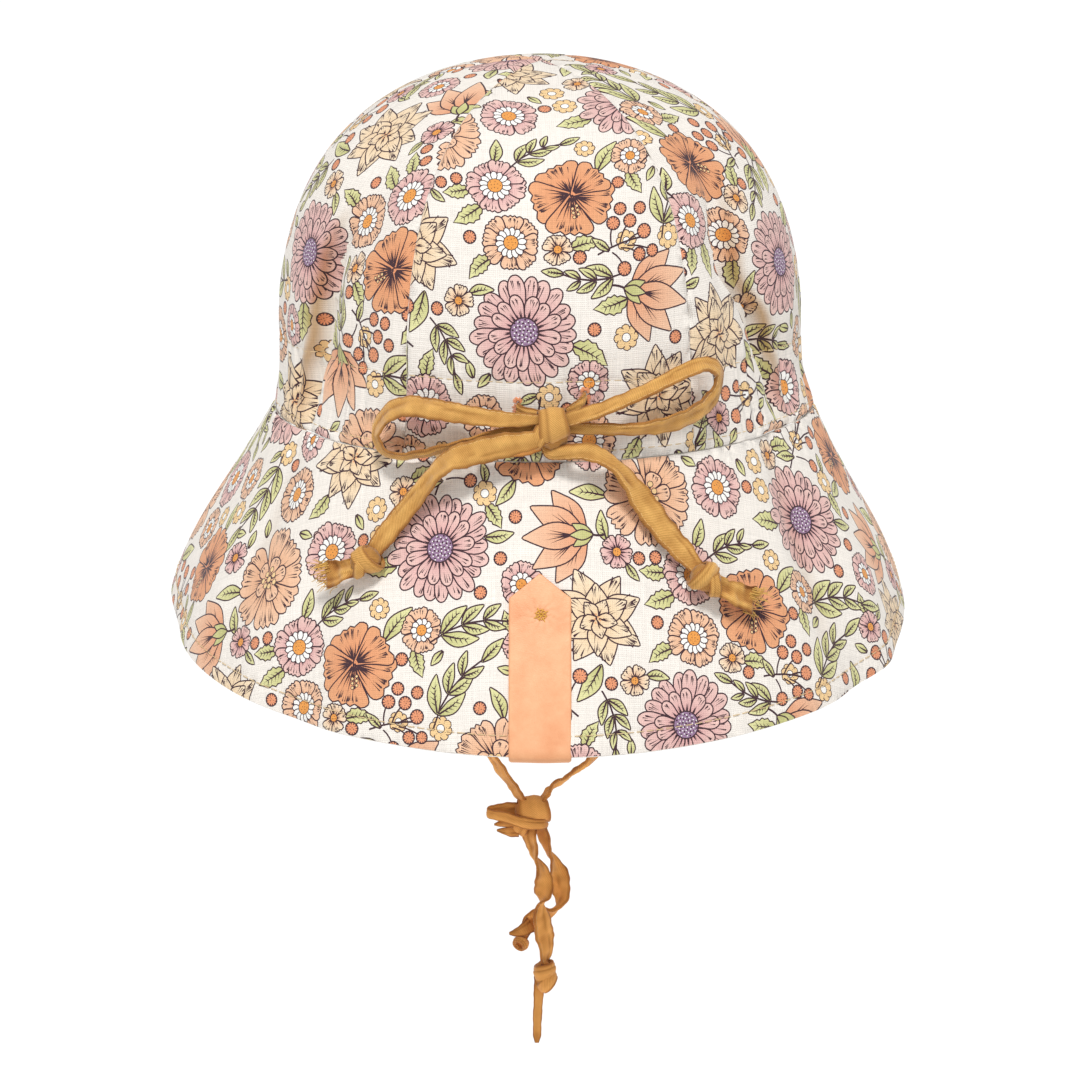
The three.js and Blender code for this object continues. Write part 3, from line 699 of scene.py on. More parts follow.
# Bow knot: the tape turns once over the crossing of loops and tails.
BOW_KNOT = (4.0, -96.3, 11.5)
KNOT_HIGH = 4.9  # from its middle to its top
bow_knot = [
    lump("bow_knot_core", (3.6, -95.7, 9.8), (9.2, 11.4, 5.4), (1, 0, 0.3), MUSTARD),
    wrap("bow_knot_wrap", BOW_KNOT, (1, 0, 0.1), KNOT_HIGH, 3.3, 8.6, MUSTARD, 0.2, 0.14, 0.7),
    wrap("bow_knot_under", (-0.4, -95.8, 8.2), (1, 0, -0.6), 3.3, 2.9, 4.8, MUSTARD, 0.3, 0.2, 2.1),
    strip("bow_knot_back", [
        (2.5, -94.6, 6.4, 0, -1, 0, 3.6),
        (-3.0, -94.8, 4.4, 0, -1, 0, 4.0),
        (-9.0, -95.0, 3.4, 0, -1, 0, 3.8),
        (-15.0, -94.8, 3.0, 0, -1, 0, 3.0),
        (-19.0, -94.6, 3.4, 0, -1, 0, 2.0),
    ], LIGHTENED_TAPE, crumple=0.2, seed=0.4),
]
slant(bow_knot[1], BOW_KNOT, KNOT_HIGH, 0.34)

# The knots at the ends of the bow's tails, and the frayed ends that stand out of them.
LEFT_WAY = (-0.85, 0.2, -0.5)
LEFT_TURN = (-0.9, 0.2, -0.2)
RIGHT_WAY = (0.85, 0.28, -0.5)
RIGHT_TURN = (0.9, 0.2, -0.2)
bow_end_left = [
    lump("bow_end_left_core", (-51.9, -95.7, -29.5), (9.2, 7.6, 5.8), LEFT_WAY, MUSTARD),
    wrap("bow_end_left_wrap", (-51.2, -95.7, -29.2), LEFT_WAY, 4.1, 3.1, 4.6, MUSTARD, 1.3, 0.25, 0.4),
    wrap("bow_end_left_turn", (-53.6, -95.2, -30.6), LEFT_TURN, 3.9, 2.9, 3.4, MUSTARD, -1.4, 0.25, 1.9),
    strip("bow_end_left_tip", [
        (-53.4, -95.4, -30.6, -0.3, -0.85, 0.4, 5),
        (-57, -93.9, -32.6, -0.3, -0.85, 0.5, 6),
        (-60.4, -92.4, -34, -0.4, -0.85, 0.4, 7.4),
        (-63.6, -91, -35, -0.5, -0.8, 0.3, 8.6),
    ], MUSTARD, cup=-0.08, crumple=0.9, seed=2.0),
    frayed("bow_end_left_fray", (-63.6, -91, -35), (-0.9, 0.3, -0.35), (-1.7, 0, 3.8), 3.4, 60, FRAY, 5),
]
bow_end_right = [
    lump("bow_end_right_core", (49.2, -99.6, -34), (9.6, 8.0, 5.8), RIGHT_WAY, MUSTARD),
    wrap("bow_end_right_wrap", (48.4, -99.4, -33.4), RIGHT_WAY, 4.3, 3.1, 5.0, MUSTARD, -1.2, 0.25, 1.1),
    wrap("bow_end_right_turn", (51.0, -98.9, -35.4), RIGHT_TURN, 4.0, 2.9, 3.4, MUSTARD, 1.4, 0.25, 0.2),
    strip("bow_end_right_tip", [
        (50.6, -98.8, -35.4, 0.3, -0.85, 0.4, 5.4),
        (54.6, -97.2, -38, 0.4, -0.85, 0.5, 6.4),
        (58.8, -95.2, -40.2, 0.4, -0.85, 0.4, 7.4),
        (63.6, -92.8, -42.4, 0.5, -0.8, 0.3, 8.4),
    ], MUSTARD, cup=-0.08, crumple=0.9, seed=4.0),
    frayed("bow_end_right_fray", (63.6, -92.8, -42.4), (0.9, 0.35, -0.35), (1.6, 0, 3.8), 3.4, 60, FRAY, 8),
]

# The knot under the chin: a gathered body, a band that runs down across it from a folded ear on its
# left, and two small folded points under that.
chin_knot = [
    lump("chin_knot_core", (-2.4, 0.4, -130.4), (11.0, 7.2, 6.4), (1, 0, -0.12), LIGHTENED_TAPE),
    wrap("chin_knot_turn", (-1.9, 0.2, -130.0), (1, 0, 0.08), 4.1, 3.7, 9.4, LIGHTENED_TAPE, 0.5, 0.16, 1.4),
    wrap("chin_knot_low", (-6.4, 0.4, -135.0), (1, 0, -0.3), 2.5, 2.6, 5.2, LIGHTENED_TAPE, 0.4, 0.16, 2.6),
    strip("chin_knot_band", [
        (2.2, -1.6, -133.4, 0.6, -0.8, 0, 3.0),
        (0.8, -3.6, -133.5, 0.3, -0.95, 0, 3.4),
        (-2.8, -4.5, -133.3, 0, -1, 0.1, 3.6),
        (-7.0, -4.4, -132.4, 0, -1, 0.1, 3.5),
        (-11.0, -3.4, -131.3, -0.1, -1, 0.1, 3.2),
        (-14.6, -2.2, -130.9, -0.5, -0.85, 0, 3.0),
        (-16.3, -0.6, -130.6, -1, 0, 0, 3.0),
        (-14.8, 0.8, -130.3, -0.4, 0.9, 0, 3.8),
        (-11.0, 1.2, -130.0, 0, 1, 0, 4.6),
        (-6.0, 0.6, -129.8, 0, 1, 0, 4.6),
    ], LIGHTENED_TAPE, steps=6, crumple=0.16, seed=0.3),
    strip("chin_knot_point_high", [
        (-7.4, -1.8, -133.7, 0, -1, 0.2, 2.6),
        (-9.8, -1.8, -133.7, 0, -1, 0.2, 2.5),
        (-12.4, -1.4, -133.9, 0, -1, 0.2, 1.8),
        (-14.2, -1.0, -134.2, 0, -1, 0.2, 0.7),
    ], LIGHTENED_TAPE, crumple=0.1, seed=1.0),
    strip("chin_knot_point_low", [
        (-6.6, -1.6, -136.4, 0, -1, 0, 3.4),
        (-9.2, -1.6, -136.4, 0, -1, 0, 3.2),
        (-11.6, -1.2, -136.2, 0, -1, 0, 2.0),
        (-13.4, -0.8, -136.1, 0, -1, 0, 0.7),
    ], LIGHTENED_TAPE, crumple=0.1, seed=2.0),
]
chin_end_left = [
    lump("chin_end_left_core", (1.5, -0.5, -183.2), (10.0, 5.8, 4.6), (0.1, 0, -1), LIGHTENED_TAPE),
    wrap("chin_end_left_wrap", (1.4, -0.5, -181.6), (0.12, 0, -1), 3.0, 2.5, 5.0, LIGHTENED_TAPE, 0.5, 0.16, 0.5),
    wrap("chin_end_left_turn", (2.2, -0.5, -185.0), (0.75, 0, -0.75), 3.2, 2.4, 4.2, LIGHTENED_TAPE, 0.4, 0.16, 1.5),
    strip("chin_end_left_tip", [
        (-0.2, -0.4, -183.6, 0, -1, 0, 3.4),
        (-0.4, -0.4, -189.4, 0.2, -1, 0, 3.1),
        (-0.8, -0.3, -196.4, -0.1, -1, 0, 2.8),
        (-0.9, -0.2, -202, 0.1, -1, 0, 2.6),
        (-1.0, -0.2, -205.0, 0.1, -1, 0, 1.4),
    ], LIGHTENED_TAPE, crumple=0.15, seed=1.0),
]
CURL_WAY = (0.5, 0.75, 0.35)
chin_curl = [
    strip("chin_tail_right_point", [
        (-2.6, 1.8, -167.2, 0.2, -0.9, 0.3, 4.8),
        (-5.0, 0.8, -168.6, 0.1, -0.9, 0.4, 4.2),
        (-7.4, 0.2, -169.4, 0, -0.9, 0.4, 2.6),
        (-9.6, -0.2, -169.6, 0, -0.9, 0.4, 0.9),
    ], LIGHTENED_TAPE, crumple=0.12, seed=0.7),
    wrap("chin_tail_right_curl", (-6.0, 0.4, -173.0), CURL_WAY, 2.0, 1.7, 2.8, LIGHTENED_TAPE, 0.3, 0.08, 1.0),
]

# ---- the cloth's flowered print ----

TILE = 132  # the print's repeat
INK = linear("#42262f")
GROUND = linear("#f7f0e7")
WHITE = linear("#fffdf8")
PEACH = linear("#f7ccab")
DEEP_PEACH = linear("#eba97b")
CREAM = linear("#fae5c6")
DEEP_CREAM = linear("#f0c896")
CORAL = linear("#e6976b")
PINK = linear("#f2ccc2")
MAUVE = linear("#d08890")
VIOLET = linear("#9c7c9c")
BUTTER = linear("#f7d29a")
ORANGE = linear("#f0a24e")
LEAF = linear("#e7e4a8")
DEEP_LEAF = linear("#c4c27e")
INK_LINE = 0.44  # how far an ink outline stands out round a shape
GOLDEN_ANGLE = 2.39996  # the turn from dot to dot that spreads dots evenly

# Half outlines of petals and leaves: how far along, and how wide there, as shares of the length and width.
ROUND = ((0, 0.08), (0.2, 0.36), (0.45, 0.72), (0.7, 1), (0.88, 0.86), (0.98, 0.42))
POINTED = ((0, 0.12), (0.18, 0.62), (0.4, 1), (0.6, 0.92), (0.8, 0.52), (0.93, 0.2))
WAVY = ((0, 0.08), (0.22, 0.32), (0.48, 0.64), (0.72, 0.96), (0.87, 0.98), (0.97, 0.7))
WAVY += ((0.91, 0.4), (0.99, 0.2))  # notched at its tip
TOOTHED = ((0, 0.1), (0.14, 0.62), (0.24, 0.64), (0.3, 1), (0.42, 0.84), (0.5, 1))
TOOTHED += ((0.6, 0.66), (0.7, 0.72), (0.82, 0.34))
BLUNT = ((0, 0.3), (0.2, 0.72), (0.5, 1), (0.8, 0.8), (0.95, 0.4))

# One patch of colour: its outline as complex numbers, and its colour, from near at its origin to far at a
# reach from there.
Patch = namedtuple("Patch", "outline origin reach near far")
dice = random.Random(41)
pen = random.Random(9)  # for fine strokes, which leave the lay of the print as it is


def turned(angle):
    """The way at an angle."""
    return cmath.exp(1j * angle)


def around(count, start=0.0):
    """Ways spread evenly round a circle."""
    return [turned(start + math.tau * k / count) for k in range(count)]


def area_of(outline):
    """The outline's area, negative where it runs clockwise."""
    ahead = np.roll(outline, -1)
    return (outline.real * ahead.imag - outline.imag * ahead.real).sum() / 2


def grown(outline, by):
    """The outline moved out along its own normals."""
    ahead = np.roll(outline, -1) - np.roll(outline, 1)
    return outline - 1j * math.copysign(by, area_of(outline)) * ahead / np.maximum(abs(ahead), 1e-6)


def petal(kind, length, width, bend=0.0):
    """A petal along the real axis from 0. bend curves it to one side; long ones get twice the points."""
    half = np.array([along * length + 0.5j * wide * width for along, wide in kind])
    outline = np.concatenate([half.conj(), [length * (0.93 if kind is WAVY else 1)], half[::-1]])
    outline = outline * np.exp(1j * bend * outline.real / length)
    if length > 6.5 and kind is not TOOTHED:
        middles = (9 * (outline + np.roll(outline, -1)) - np.roll(outline, 1) - np.roll(outline, -2)) / 16
        outline = np.stack([outline, middles], 1).ravel()
    return outline


def dot(centre, radius, points=6):
    """A small disc."""
    return centre + radius * np.array(around(points))


def flat(art, outline, near, far=None, origin=0j, reach=1.0):
    """One patch of colour, its outline turned anticlockwise."""
    outline = outline if area_of(outline) > 0 else outline[::-1]
    art.append(Patch(outline, origin, reach, near, near if far is None else far))


def inked(art, outline, near, far=None, origin=0j, reach=1.0, ink=INK_LINE):
    """One patch of colour with an ink line round it."""
    flat(art, grown(outline, ink), INK)
    flat(art, outline, near, far, origin, reach)


def vein(art, a, b, wide, bow=0.0):
    """A thin stroke of ink from a that tapers to b and bows to one side."""
    side = 1j * (b - a) / abs(b - a)
    middle = (a + b) / 2 + side * bow
    foot, waist = side * wide / 2, side * wide * 0.36
    flat(art, np.array([a + foot, a - foot, middle - waist, b, middle + waist]), INK)


def stem(art, a, b, wide, bow=0.0):
    """An ink line of even width."""
    side = 1j * (b - a) / abs(b - a)
    shares = (0, 0.25, 0.5, 0.75, 1)
    places = [a + (b - a) * share + side * bow * 4 * share * (1 - share) for share in shares]
    half = side * wide / 2
    edge = [place + half for place in places[::-1]] + [place - half for place in places]
    flat(art, np.array(edge), INK)


def spike(art, a, b, wide=0.46):
    """A short stroke of ink from a to a point at b."""
    side = 0.5j * wide * (b - a) / abs(b - a)
    flat(art, np.array([a + side, a - side, b]), INK)


def corolla(art, kind, count, length, width, near, far, start=0.0, veins=2, base=0.0, bend=0.12, hatch=2):
    """A ring of petals, with ink veins that fan out from each one's base and short strokes between them."""
    for way in around(count, start):
        way = way * turned(dice.uniform(-0.25, 0.25) / count)
        long = (length - base) * dice.uniform(0.9, 1.06)
        wide = width * dice.uniform(0.92, 1.08)
        lean = dice.uniform(-bend, bend)
        inked(art, (petal(kind, long, wide, lean) + base) * way, near, far, 0j, length)
        for k in range(veins):
            fan = (k - (veins - 1) / 2) / max(1, veins)
            tip = long * dice.uniform(0.5, 0.76)
            end = (tip + 1j * fan * wide * 0.76) * turned(lean * tip / long) + base
            foot = base + long * 0.1 + 0.1j * fan * wide
            vein(art, foot * way, end * way, 0.56, fan * 0.5)
        for _ in range(hatch):
            fan = dice.uniform(-0.42, 0.42)
            tip = long * dice.uniform(0.24, 0.5)
            end = tip * turned(fan * wide / long + lean * tip / long) + base
            spike(art, (base + long * 0.08 + 0.1j * fan * wide) * way, end * way)
            root = long * dice.uniform(0.88, 0.94) * turned(fan * 0.7 * wide / long + lean)
            spike(art, (root + base) * way, (root * 0.84 + base) * way, 0.36)
        hatched(art, way, base, long, wide, lean)


def hatched(art, way, base, long, wide, lean):
    """Fine strokes down a petal, from its far edge and from its foot."""
    for _ in range(round(wide * 0.75)):
        root = long * pen.uniform(0.84, 0.93) * turned(pen.uniform(-0.34, 0.34) * wide / long + lean)
        spike(art, (root + base) * way, (root * pen.uniform(0.66, 0.84) + base) * way, 0.38)
    for _ in range(round(wide * 0.45)):
        turn = pen.uniform(-0.36, 0.36) * wide / long
        foot = long * pen.uniform(0.16, 0.3) * turned(turn * 0.6)
        tip = foot + long * 0.3 * turned(turn + lean * 0.5)
        spike(art, (foot + base) * way, (tip + base) * way, 0.4)


def dotted(art, radius, count, colour, size=0.22):
    """Dots spread evenly over a disc."""
    for k in range(count):
        flat(art, dot(radius * math.sqrt((k + 0.5) / count) * turned(k * GOLDEN_ANGLE), size, 5), colour)


def daisy(radius):
    """Long narrow petals in two rows round a dotted eye."""
    art = []
    corolla(art, ROUND, 21, radius, radius * 0.27, MAUVE, PINK, 0.1, 1, radius * 0.1, 0.06, 1)
    corolla(art, ROUND, 13, radius * 0.68, radius * 0.22, MAUVE, PINK, 0.34, 1, radius * 0.1, 0.1, 1)
    for way in around(26, 0.05):
        spike(art, 0.24 * radius * way, radius * dice.uniform(0.32, 0.4) * way, 0.7)
    inked(art, dot(0j, radius * 0.25, 16), VIOLET)
    dotted(art, radius * 0.24, 30, INK, 0.34)
    dotted(art, radius * 0.23 * turned(1.2), 34, WHITE, 0.25)
    return art


def blossom(radius):
    """An open flower of broad wavy petals, with small curled ones and round stamens inside."""
    art = []
    corolla(art, WAVY, 8, radius, radius * 0.66, DEEP_PEACH, PEACH, 0.2, 3, 0, 0.2, 5)
    corolla(art, ROUND, 5, radius * 0.48, radius * 0.3, DEEP_PEACH, PEACH, 0.5, 1, 0, 0.3)
    for k, way in enumerate(around(7, 0.4)):
        inked(art, dot(radius * (0.15 + 0.05 * (k % 2)) * way, radius * 0.055, 7), BUTTER, ink=0.26)
    inked(art, dot(0j, radius * 0.06, 7), BUTTER, ink=0.26)
    return art


def lotus(radius):
    """Pointed petals in three rows, the inner ones cupped round the heart."""
    art = []
    corolla(art, POINTED, 8, radius, radius * 0.5, DEEP_CREAM, CREAM, 0.2, 3, 0, 0.16, 4)
    corolla(art, POINTED, 6, radius * 0.72, radius * 0.42, DEEP_CREAM, CREAM, 0.6, 2, 0, 0.12, 3)
    corolla(art, POINTED, 5, radius * 0.42, radius * 0.28, DEEP_CREAM, CREAM, 0.1, 1, 0, 0.1)
    dotted(art, radius * 0.1, 5, DEEP_PEACH, 0.34)
    return art


def mallow(radius):
    """Five broad veined petals, and a long column of stamens."""
    art = []
    corolla(art, WAVY, 5, radius, radius * 1.08, CORAL, DEEP_PEACH, 0.4, 5, 0, 0.14, 8)
    tip = radius * 0.62 * turned(dice.uniform(0, math.tau))
    stem(art, 0j, tip, 0.6, 0.8)
    for k in range(6):
        place = tip * (0.5 + 0.09 * k) + tip * 0.09j * (-1) ** k
        inked(art, dot(place, 0.42, 6), BUTTER, ink=0.24)
    return art


def half_open(radius):
    """A flower seen from the side: petals that fan out of a green cup."""
    art = []
    for way, long in ((-0.95, 0.84), (0.95, 0.86), (-0.5, 0.96), (0.5, 0.98), (0, 1)):
        turn = turned(way)
        outline = petal(POINTED, radius * 1.8 * long, radius * 0.7) * turn - radius * 0.8
        inked(art, outline, CORAL, PEACH, -radius * 0.8 + 0j, radius * 1.8)
        for fan in (-0.18, -0.08, 0.02, 0.1, 0.2):
            tip = (radius * dice.uniform(0.9, 1.3) * long + 1j * fan * radius) * turn - radius * 0.8
            spike(art, radius * 0.4 * turn - radius * 0.8, tip, 0.6)
    for way in (-0.5, 0.5, 0):
        sepal = petal(POINTED, radius * 0.62, radius * 0.24) * turned(way) - radius
        inked(art, sepal, LEAF, DEEP_LEAF, 0j, radius)
    stem(art, -1.4 * radius + 0j, -radius + 0j, 0.7, 0.3)
    return art


def cosmos(radius, petal_count, near, far):
    """Wavy petals round a ring of white stamens and a dotted eye."""
    art = []
    wide = radius * 5.6 / petal_count
    corolla(art, WAVY, petal_count, radius, wide, near, far, 0.1, 3, radius * 0.1, 0.1, 2)
    for way in around(11, 0.2):
        spike(art, 0.5 * radius * way, radius * dice.uniform(0.62, 0.74) * way, 0.6)
    ring = 14 if radius > 7 else 10
    for way in around(ring):
        shape = petal(BLUNT, radius * 0.3, radius * 0.34 * 8 / ring) + radius * 0.24
        inked(art, shape * way, WHITE, ink=0.32)
    inked(art, dot(0j, radius * 0.25, 12), ORANGE, ink=0.26)
    dotted(art, radius * 0.2, 9 if radius > 7 else 5, INK, 0.17)
    return art


def small_flower(radius, near, far):
    """Five wavy petals round a dotted eye."""
    art = []
    corolla(art, WAVY, 5, radius, radius * 0.92, near, far, dice.uniform(0, 1), 2, 0, 0.15)
    inked(art, dot(0j, radius * 0.26, 8), ORANGE, ink=0.26)
    dotted(art, radius * 0.18, 4, INK, 0.16)
    return art


def ringlet(radius):
    """A scalloped ring round a white eye with dots."""
    art = []
    for way in around(8):
        inked(art, dot(radius * 0.7 * way, radius * 0.33, 8), BUTTER, ink=0.32)
    flat(art, dot(0j, radius * 0.72, 14), BUTTER)
    inked(art, dot(0j, radius * 0.34, 9), WHITE, ink=0.26)
    for way in around(8, 0.4):
        flat(art, dot(radius * 0.55 * way, 0.17, 4), INK)
    return art


def berry(radius):
    """A round berry with short hatching inside its rim."""
    art = []
    inked(art, dot(0j, radius, 12), CORAL, linear("#f0a077"), 0.3j, radius)
    for way in around(12):
        spike(art, 0.99 * way * radius, dice.uniform(0.5, 0.66) * way * radius, 0.44)
    dotted(art, radius * 0.5, 4, INK, 0.17)
    return art


def bud(radius):
    """A closed flower in its cup, on a short stalk."""
    art = []
    stem(art, -radius * 2.1 + 0j, 0j, 0.56, 0.5)
    for way in (-0.45, 0.45, 0):
        outline = petal(WAVY, radius * 1.5, radius * 0.66) * turned(way)
        inked(art, outline, MAUVE, PINK, 0j, radius * 1.5, 0.3)
    inked(art, petal(BLUNT, radius * 0.95, radius * 1.1) - radius * 0.4, LEAF, DEEP_LEAF, 0j, radius, 0.3)
    return art


def leaf(length, width, kind=POINTED, bend=0.0):
    """A leaf along the real axis, with a midrib and side veins."""
    art = []
    inked(art, petal(kind, length, width, bend), DEEP_LEAF, LEAF, 0j, length * 0.9)
    end = length * 0.86 * turned(bend * 0.86)
    vein(art, 0j, end, 0.64, bend * length * -0.12)
    if length > 6:
        for share in (0.22, 0.36, 0.5, 0.64):
            for side in (-1, 1):
                root = length * share * turned(bend * share)
                tip = root + (length * 0.13 + side * width * 0.3j) * turned(bend * share)
                spike(art, root, tip, 0.4)
    return art


def put(art, place, way=1.0):
    """The patches moved to a place and turned to a way."""
    return [Patch(one.outline * way + place, one.origin * way + place, *one[2:]) for one in art]


def sprig(length):
    """Leaves in pairs along a bent stem: (art, the discs that it takes up)."""
    bow = length * 0.1
    art, marks = [], []
    stem(art, 0j, length + 0j, 0.6, bow)
    for k, share in enumerate((0.16, 0.42, 0.68)):
        foot = length * share + 4j * bow * share * (1 - share)
        for side in (-1, 1):
            way = turned(side * dice.uniform(0.65, 0.95) + 0.1)
            long = length * dice.uniform(0.36, 0.44) * (1 - 0.18 * k)
            art.extend(put(leaf(long, long * 0.36, POINTED, side * -0.3), foot + way * 0.5, way))
            marks += [(foot + way * long * 0.45, long * 0.2), (foot + way * long * 0.8, long * 0.16)]
    art.extend(put(leaf(length * 0.34, length * 0.12), length * 0.96 + 0j, turned(-0.1)))
    marks += [(length * 1.15 + 0j, 1.8), (length * 0.5 + bow * 1j, 2.0)]
    return art, marks


def berries(size):
    """A forked spray of berries: (art, the discs that it takes up)."""
    art, marks = [], []
    shares = (0.95 + 0.1j, 0.72 + 0.42j, 0.7 - 0.3j, 0.36 + 0.5j, 0.3 - 0.46j, 1.0 - 0.34j)
    places = [size * share for share in shares]
    for place in places:
        fork = 0.5 * place.real + 0.12j * place.imag
        stem(art, fork, place, 0.52, 0.6)
    stem(art, -0.15 * size + 0j, 0.9 * size + 0j, 0.6, 0.8)
    for place in places:
        radius = dice.uniform(1.7, 2.15)
        art.extend(put(berry(radius), place, turned(dice.uniform(0, 6))))
        marks.append((place, radius))
    art.extend(put(leaf(size * 0.42, size * 0.15), 0.1 * size + 0j, turned(2.2)))
    marks += [(size * (0.1 + 0.2 * turned(2.2)), 1.6), (0j, 1.0)]
    return art, marks


def disc(draw, radius, *settings):
    """A round flower: (art, the one disc that it takes up)."""
    return draw(radius, *settings), [(0j, radius)]


# What is strewn over a tile, in turn: how many, what, and its sizes and colours.
STREWN = (
    (2, disc, (daisy, 16.4)),
    (2, disc, (blossom, 15.4)),
    (2, disc, (lotus, 15.4)),
    (2, disc, (mallow, 12.6)),
    (3, sprig, (27,)),
    (2, berries, (19,)),
    (2, disc, (half_open, 11.0)),
    (3, disc, (cosmos, 9.2, 8, MAUVE, PINK)),
    (3, disc, (cosmos, 8.6, 8, DEEP_PEACH, PEACH)),
    (3, berries, (15,)),
    (3, sprig, (19,)),
    (4, disc, (cosmos, 6.4, 6, DEEP_PEACH, PEACH)),
    (5, disc, (cosmos, 6.6, 6, MAUVE, PINK)),
    (3, disc, (small_flower, 5.0, MAUVE, PINK)),
    (3, disc, (small_flower, 4.6, DEEP_PEACH, CREAM)),
    (8, disc, (ringlet, 3.7)),
)
# What fills the room that is left: how far from anything else, what, and its size.
FILLERS = ((4.4, bud, 2.2), (3.7, ringlet, 3.1), (2.9, leaf, 5.4), (2.4, berry, 1.8))
MARGIN = 0.7  # bare cloth left round what is strewn
PLACES_TRIED = 260  # for each thing strewn
FILLER_PLACES = 1200
WIDEST = 20  # no patch reaches as far from its own middle


def apart(a, b):
    """The way from b to a over the repeating tile."""
    way = a - b
    return way - TILE * (np.round(way.real / TILE) + 1j * np.round(way.imag / TILE))


def room_at(places, taken):
    """How far each place is from the nearest disc that is taken."""
    if not taken:
        return np.full(np.shape(places), float(TILE))
    centres, radii = np.array([mark[0] for mark in taken]), np.array([mark[1] for mark in taken])
    return (abs(apart(np.asarray(places)[..., None], centres)) - radii).min(axis=-1)


def random_places(count):
    """Places anywhere on the tile."""
    return np.array([complex(dice.uniform(0, TILE), dice.uniform(0, TILE)) for _ in range(count)])


def strewn():
    """The flowers, sprigs and berries of a tile, each where it fits most closely: (art, the discs taken,
    where the round flowers are)."""
    art, taken, flowers = [], [], []
    for count, make, settings in STREWN:
        for _ in range(count):
            drawn, marks = make(*settings)
            places = random_places(PLACES_TRIED)
            ways = np.exp(1j * math.tau * np.array([dice.random() for _ in places]))
            centres = places[:, None] + ways[:, None] * np.array([mark[0] for mark in marks])
            room = (room_at(centres, taken) - np.array([mark[1] for mark in marks])).min(axis=1) - MARGIN
            fits = np.flatnonzero(room > 0)
            if len(fits) == 0:
                continue
            best = fits[room[fits].argmax() if marks[0][1] > 11 else room[fits].argmin()]
            art = put(drawn, places[best], ways[best]) + art
            taken += [(place, mark[1]) for place, mark in zip(centres[best], marks)]
            if make is disc:
                flowers.append((places[best], marks[0][1]))
    return art, taken, flowers


def strewn_leaves(taken, flowers):
    """Leaves that grow from under the flowers, and buds, leaves and berries where there is still room."""
    art = []
    for place, radius in sorted(flowers, key=lambda flower: -flower[1]):
        for _ in range(18 if radius > 5 else 7):
            way = turned(dice.uniform(0, math.tau))
            length = dice.uniform(0.8, 1.3) * (11 if radius > 5.5 else 7.5)
            foot = place + way * radius * 0.92
            along = way * turned(dice.uniform(-0.5, 0.5))
            marks = [(foot + along * length * share, length * 0.17) for share in (0.4, 0.65, 0.92)]
            room = room_at(np.array([mark[0] for mark in marks]), taken)
            if (room > length * 0.17 + 0.25).all():
                taken += marks
                kind, slimness = (TOOTHED, 0.52) if dice.random() < 0.4 else (POINTED, 0.38)
                drawn = leaf(length, length * slimness, kind, dice.uniform(-0.4, 0.4))
                art += put(drawn, foot, along)
    for least, draw, size in FILLERS:
        for place in random_places(FILLER_PLACES):
            if room_at(place, taken) > least:
                way = turned(dice.uniform(0, math.tau))
                drawn = leaf(size, size * 0.44) if draw is leaf else draw(size)
                art += put(drawn, place - (way * size / 2 if draw is leaf else 0), way)
                taken.append((place, least - MARGIN))
    return art


def drawn_tile():
    """The whole tile, the leaves under the flowers."""
    art, taken, flowers = strewn()
    return strewn_leaves(taken, flowers) + art


tile = drawn_tile()


def off_edges(places, starts, edges):
    """How far places are from straight edges."""
    share = ((places - starts) * edges.conj()).real / np.maximum(abs(edges) ** 2, 1e-9)
    return abs(places - starts - np.clip(share, 0, 1) * edges)


def inside(polygon, places):
    """Which places lie in the polygon, and how far each is from its edge."""
    a, b = polygon[None, :], np.roll(polygon, -1)[None, :]
    z = places[:, None]
    edge = b - a
    far = off_edges(z, a, edge).min(axis=1)
    crosses = (a.imag > z.imag) != (b.imag > z.imag)
    rise = np.where(abs(edge.imag) < 1e-9, 1e-9, edge.imag)
    meets = z.real < (z.imag - a.imag) / rise * edge.real + a.real
    return (crosses & meets).sum(axis=1) % 2 == 1, far


def print_over(outline, turn, shift):
    """The patches of the repeating print that touch the outline of a flat piece of cloth."""
    low = complex(outline.real.min(), outline.imag.min())
    high = complex(outline.real.max(), outline.imag.max())
    way = turned(math.radians(turn))
    reach = int(max(abs(low), abs(high)) / TILE) + 2
    middles = np.array([patch.outline.mean() for patch in tile])
    sizes = np.array([abs(patch.outline - middle).max() for patch, middle in zip(tile, middles)])
    steps = [complex(i, j) * TILE for i in range(-reach, reach + 1) for j in range(-reach, reach + 1)]
    art = []
    for step in steps:
        placed = (middles + step + shift) * way
        box = (placed.real > low.real - WIDEST) & (placed.real < high.real + WIDEST)
        box &= (placed.imag > low.imag - WIDEST) & (placed.imag < high.imag + WIDEST)
        near = np.flatnonzero(box)
        if len(near) == 0:
            continue
        within, far = inside(outline, placed[near])
        for k in near[within | (far < sizes[near])]:
            patch = tile[k]
            moved = (patch.outline + step + shift) * way
            origin = (patch.origin + step + shift) * way
            art.append(Patch(moved, origin, patch.reach, patch.near, patch.far))
    return art


# ---- the cloth's surfaces ----

CLOTH = 1.6
GAP = 0.12  # left between neighbouring pieces
CROWN_HEIGHT = 107.2
CROWN_HALF_WIDTH = 79.6
CROWN_HALF_LENGTH = 89.5
SHOULDER = 3.5  # the power that fills the crown out round its top; a plain dome has 2
SEAM_FLARE = 0.035  # how much wider the crown grows toward its seam
FLARE_HEIGHT = 22
ROW_EVENNESS = 0.57  # makes equal steps of climb about equally long
TIP_CLIMB = 0.997  # where the panels end, short of the top
CASING_STITCH = 23.2  # the heights of the crown's two rows of stitches
SEAM_STITCH = 2.6

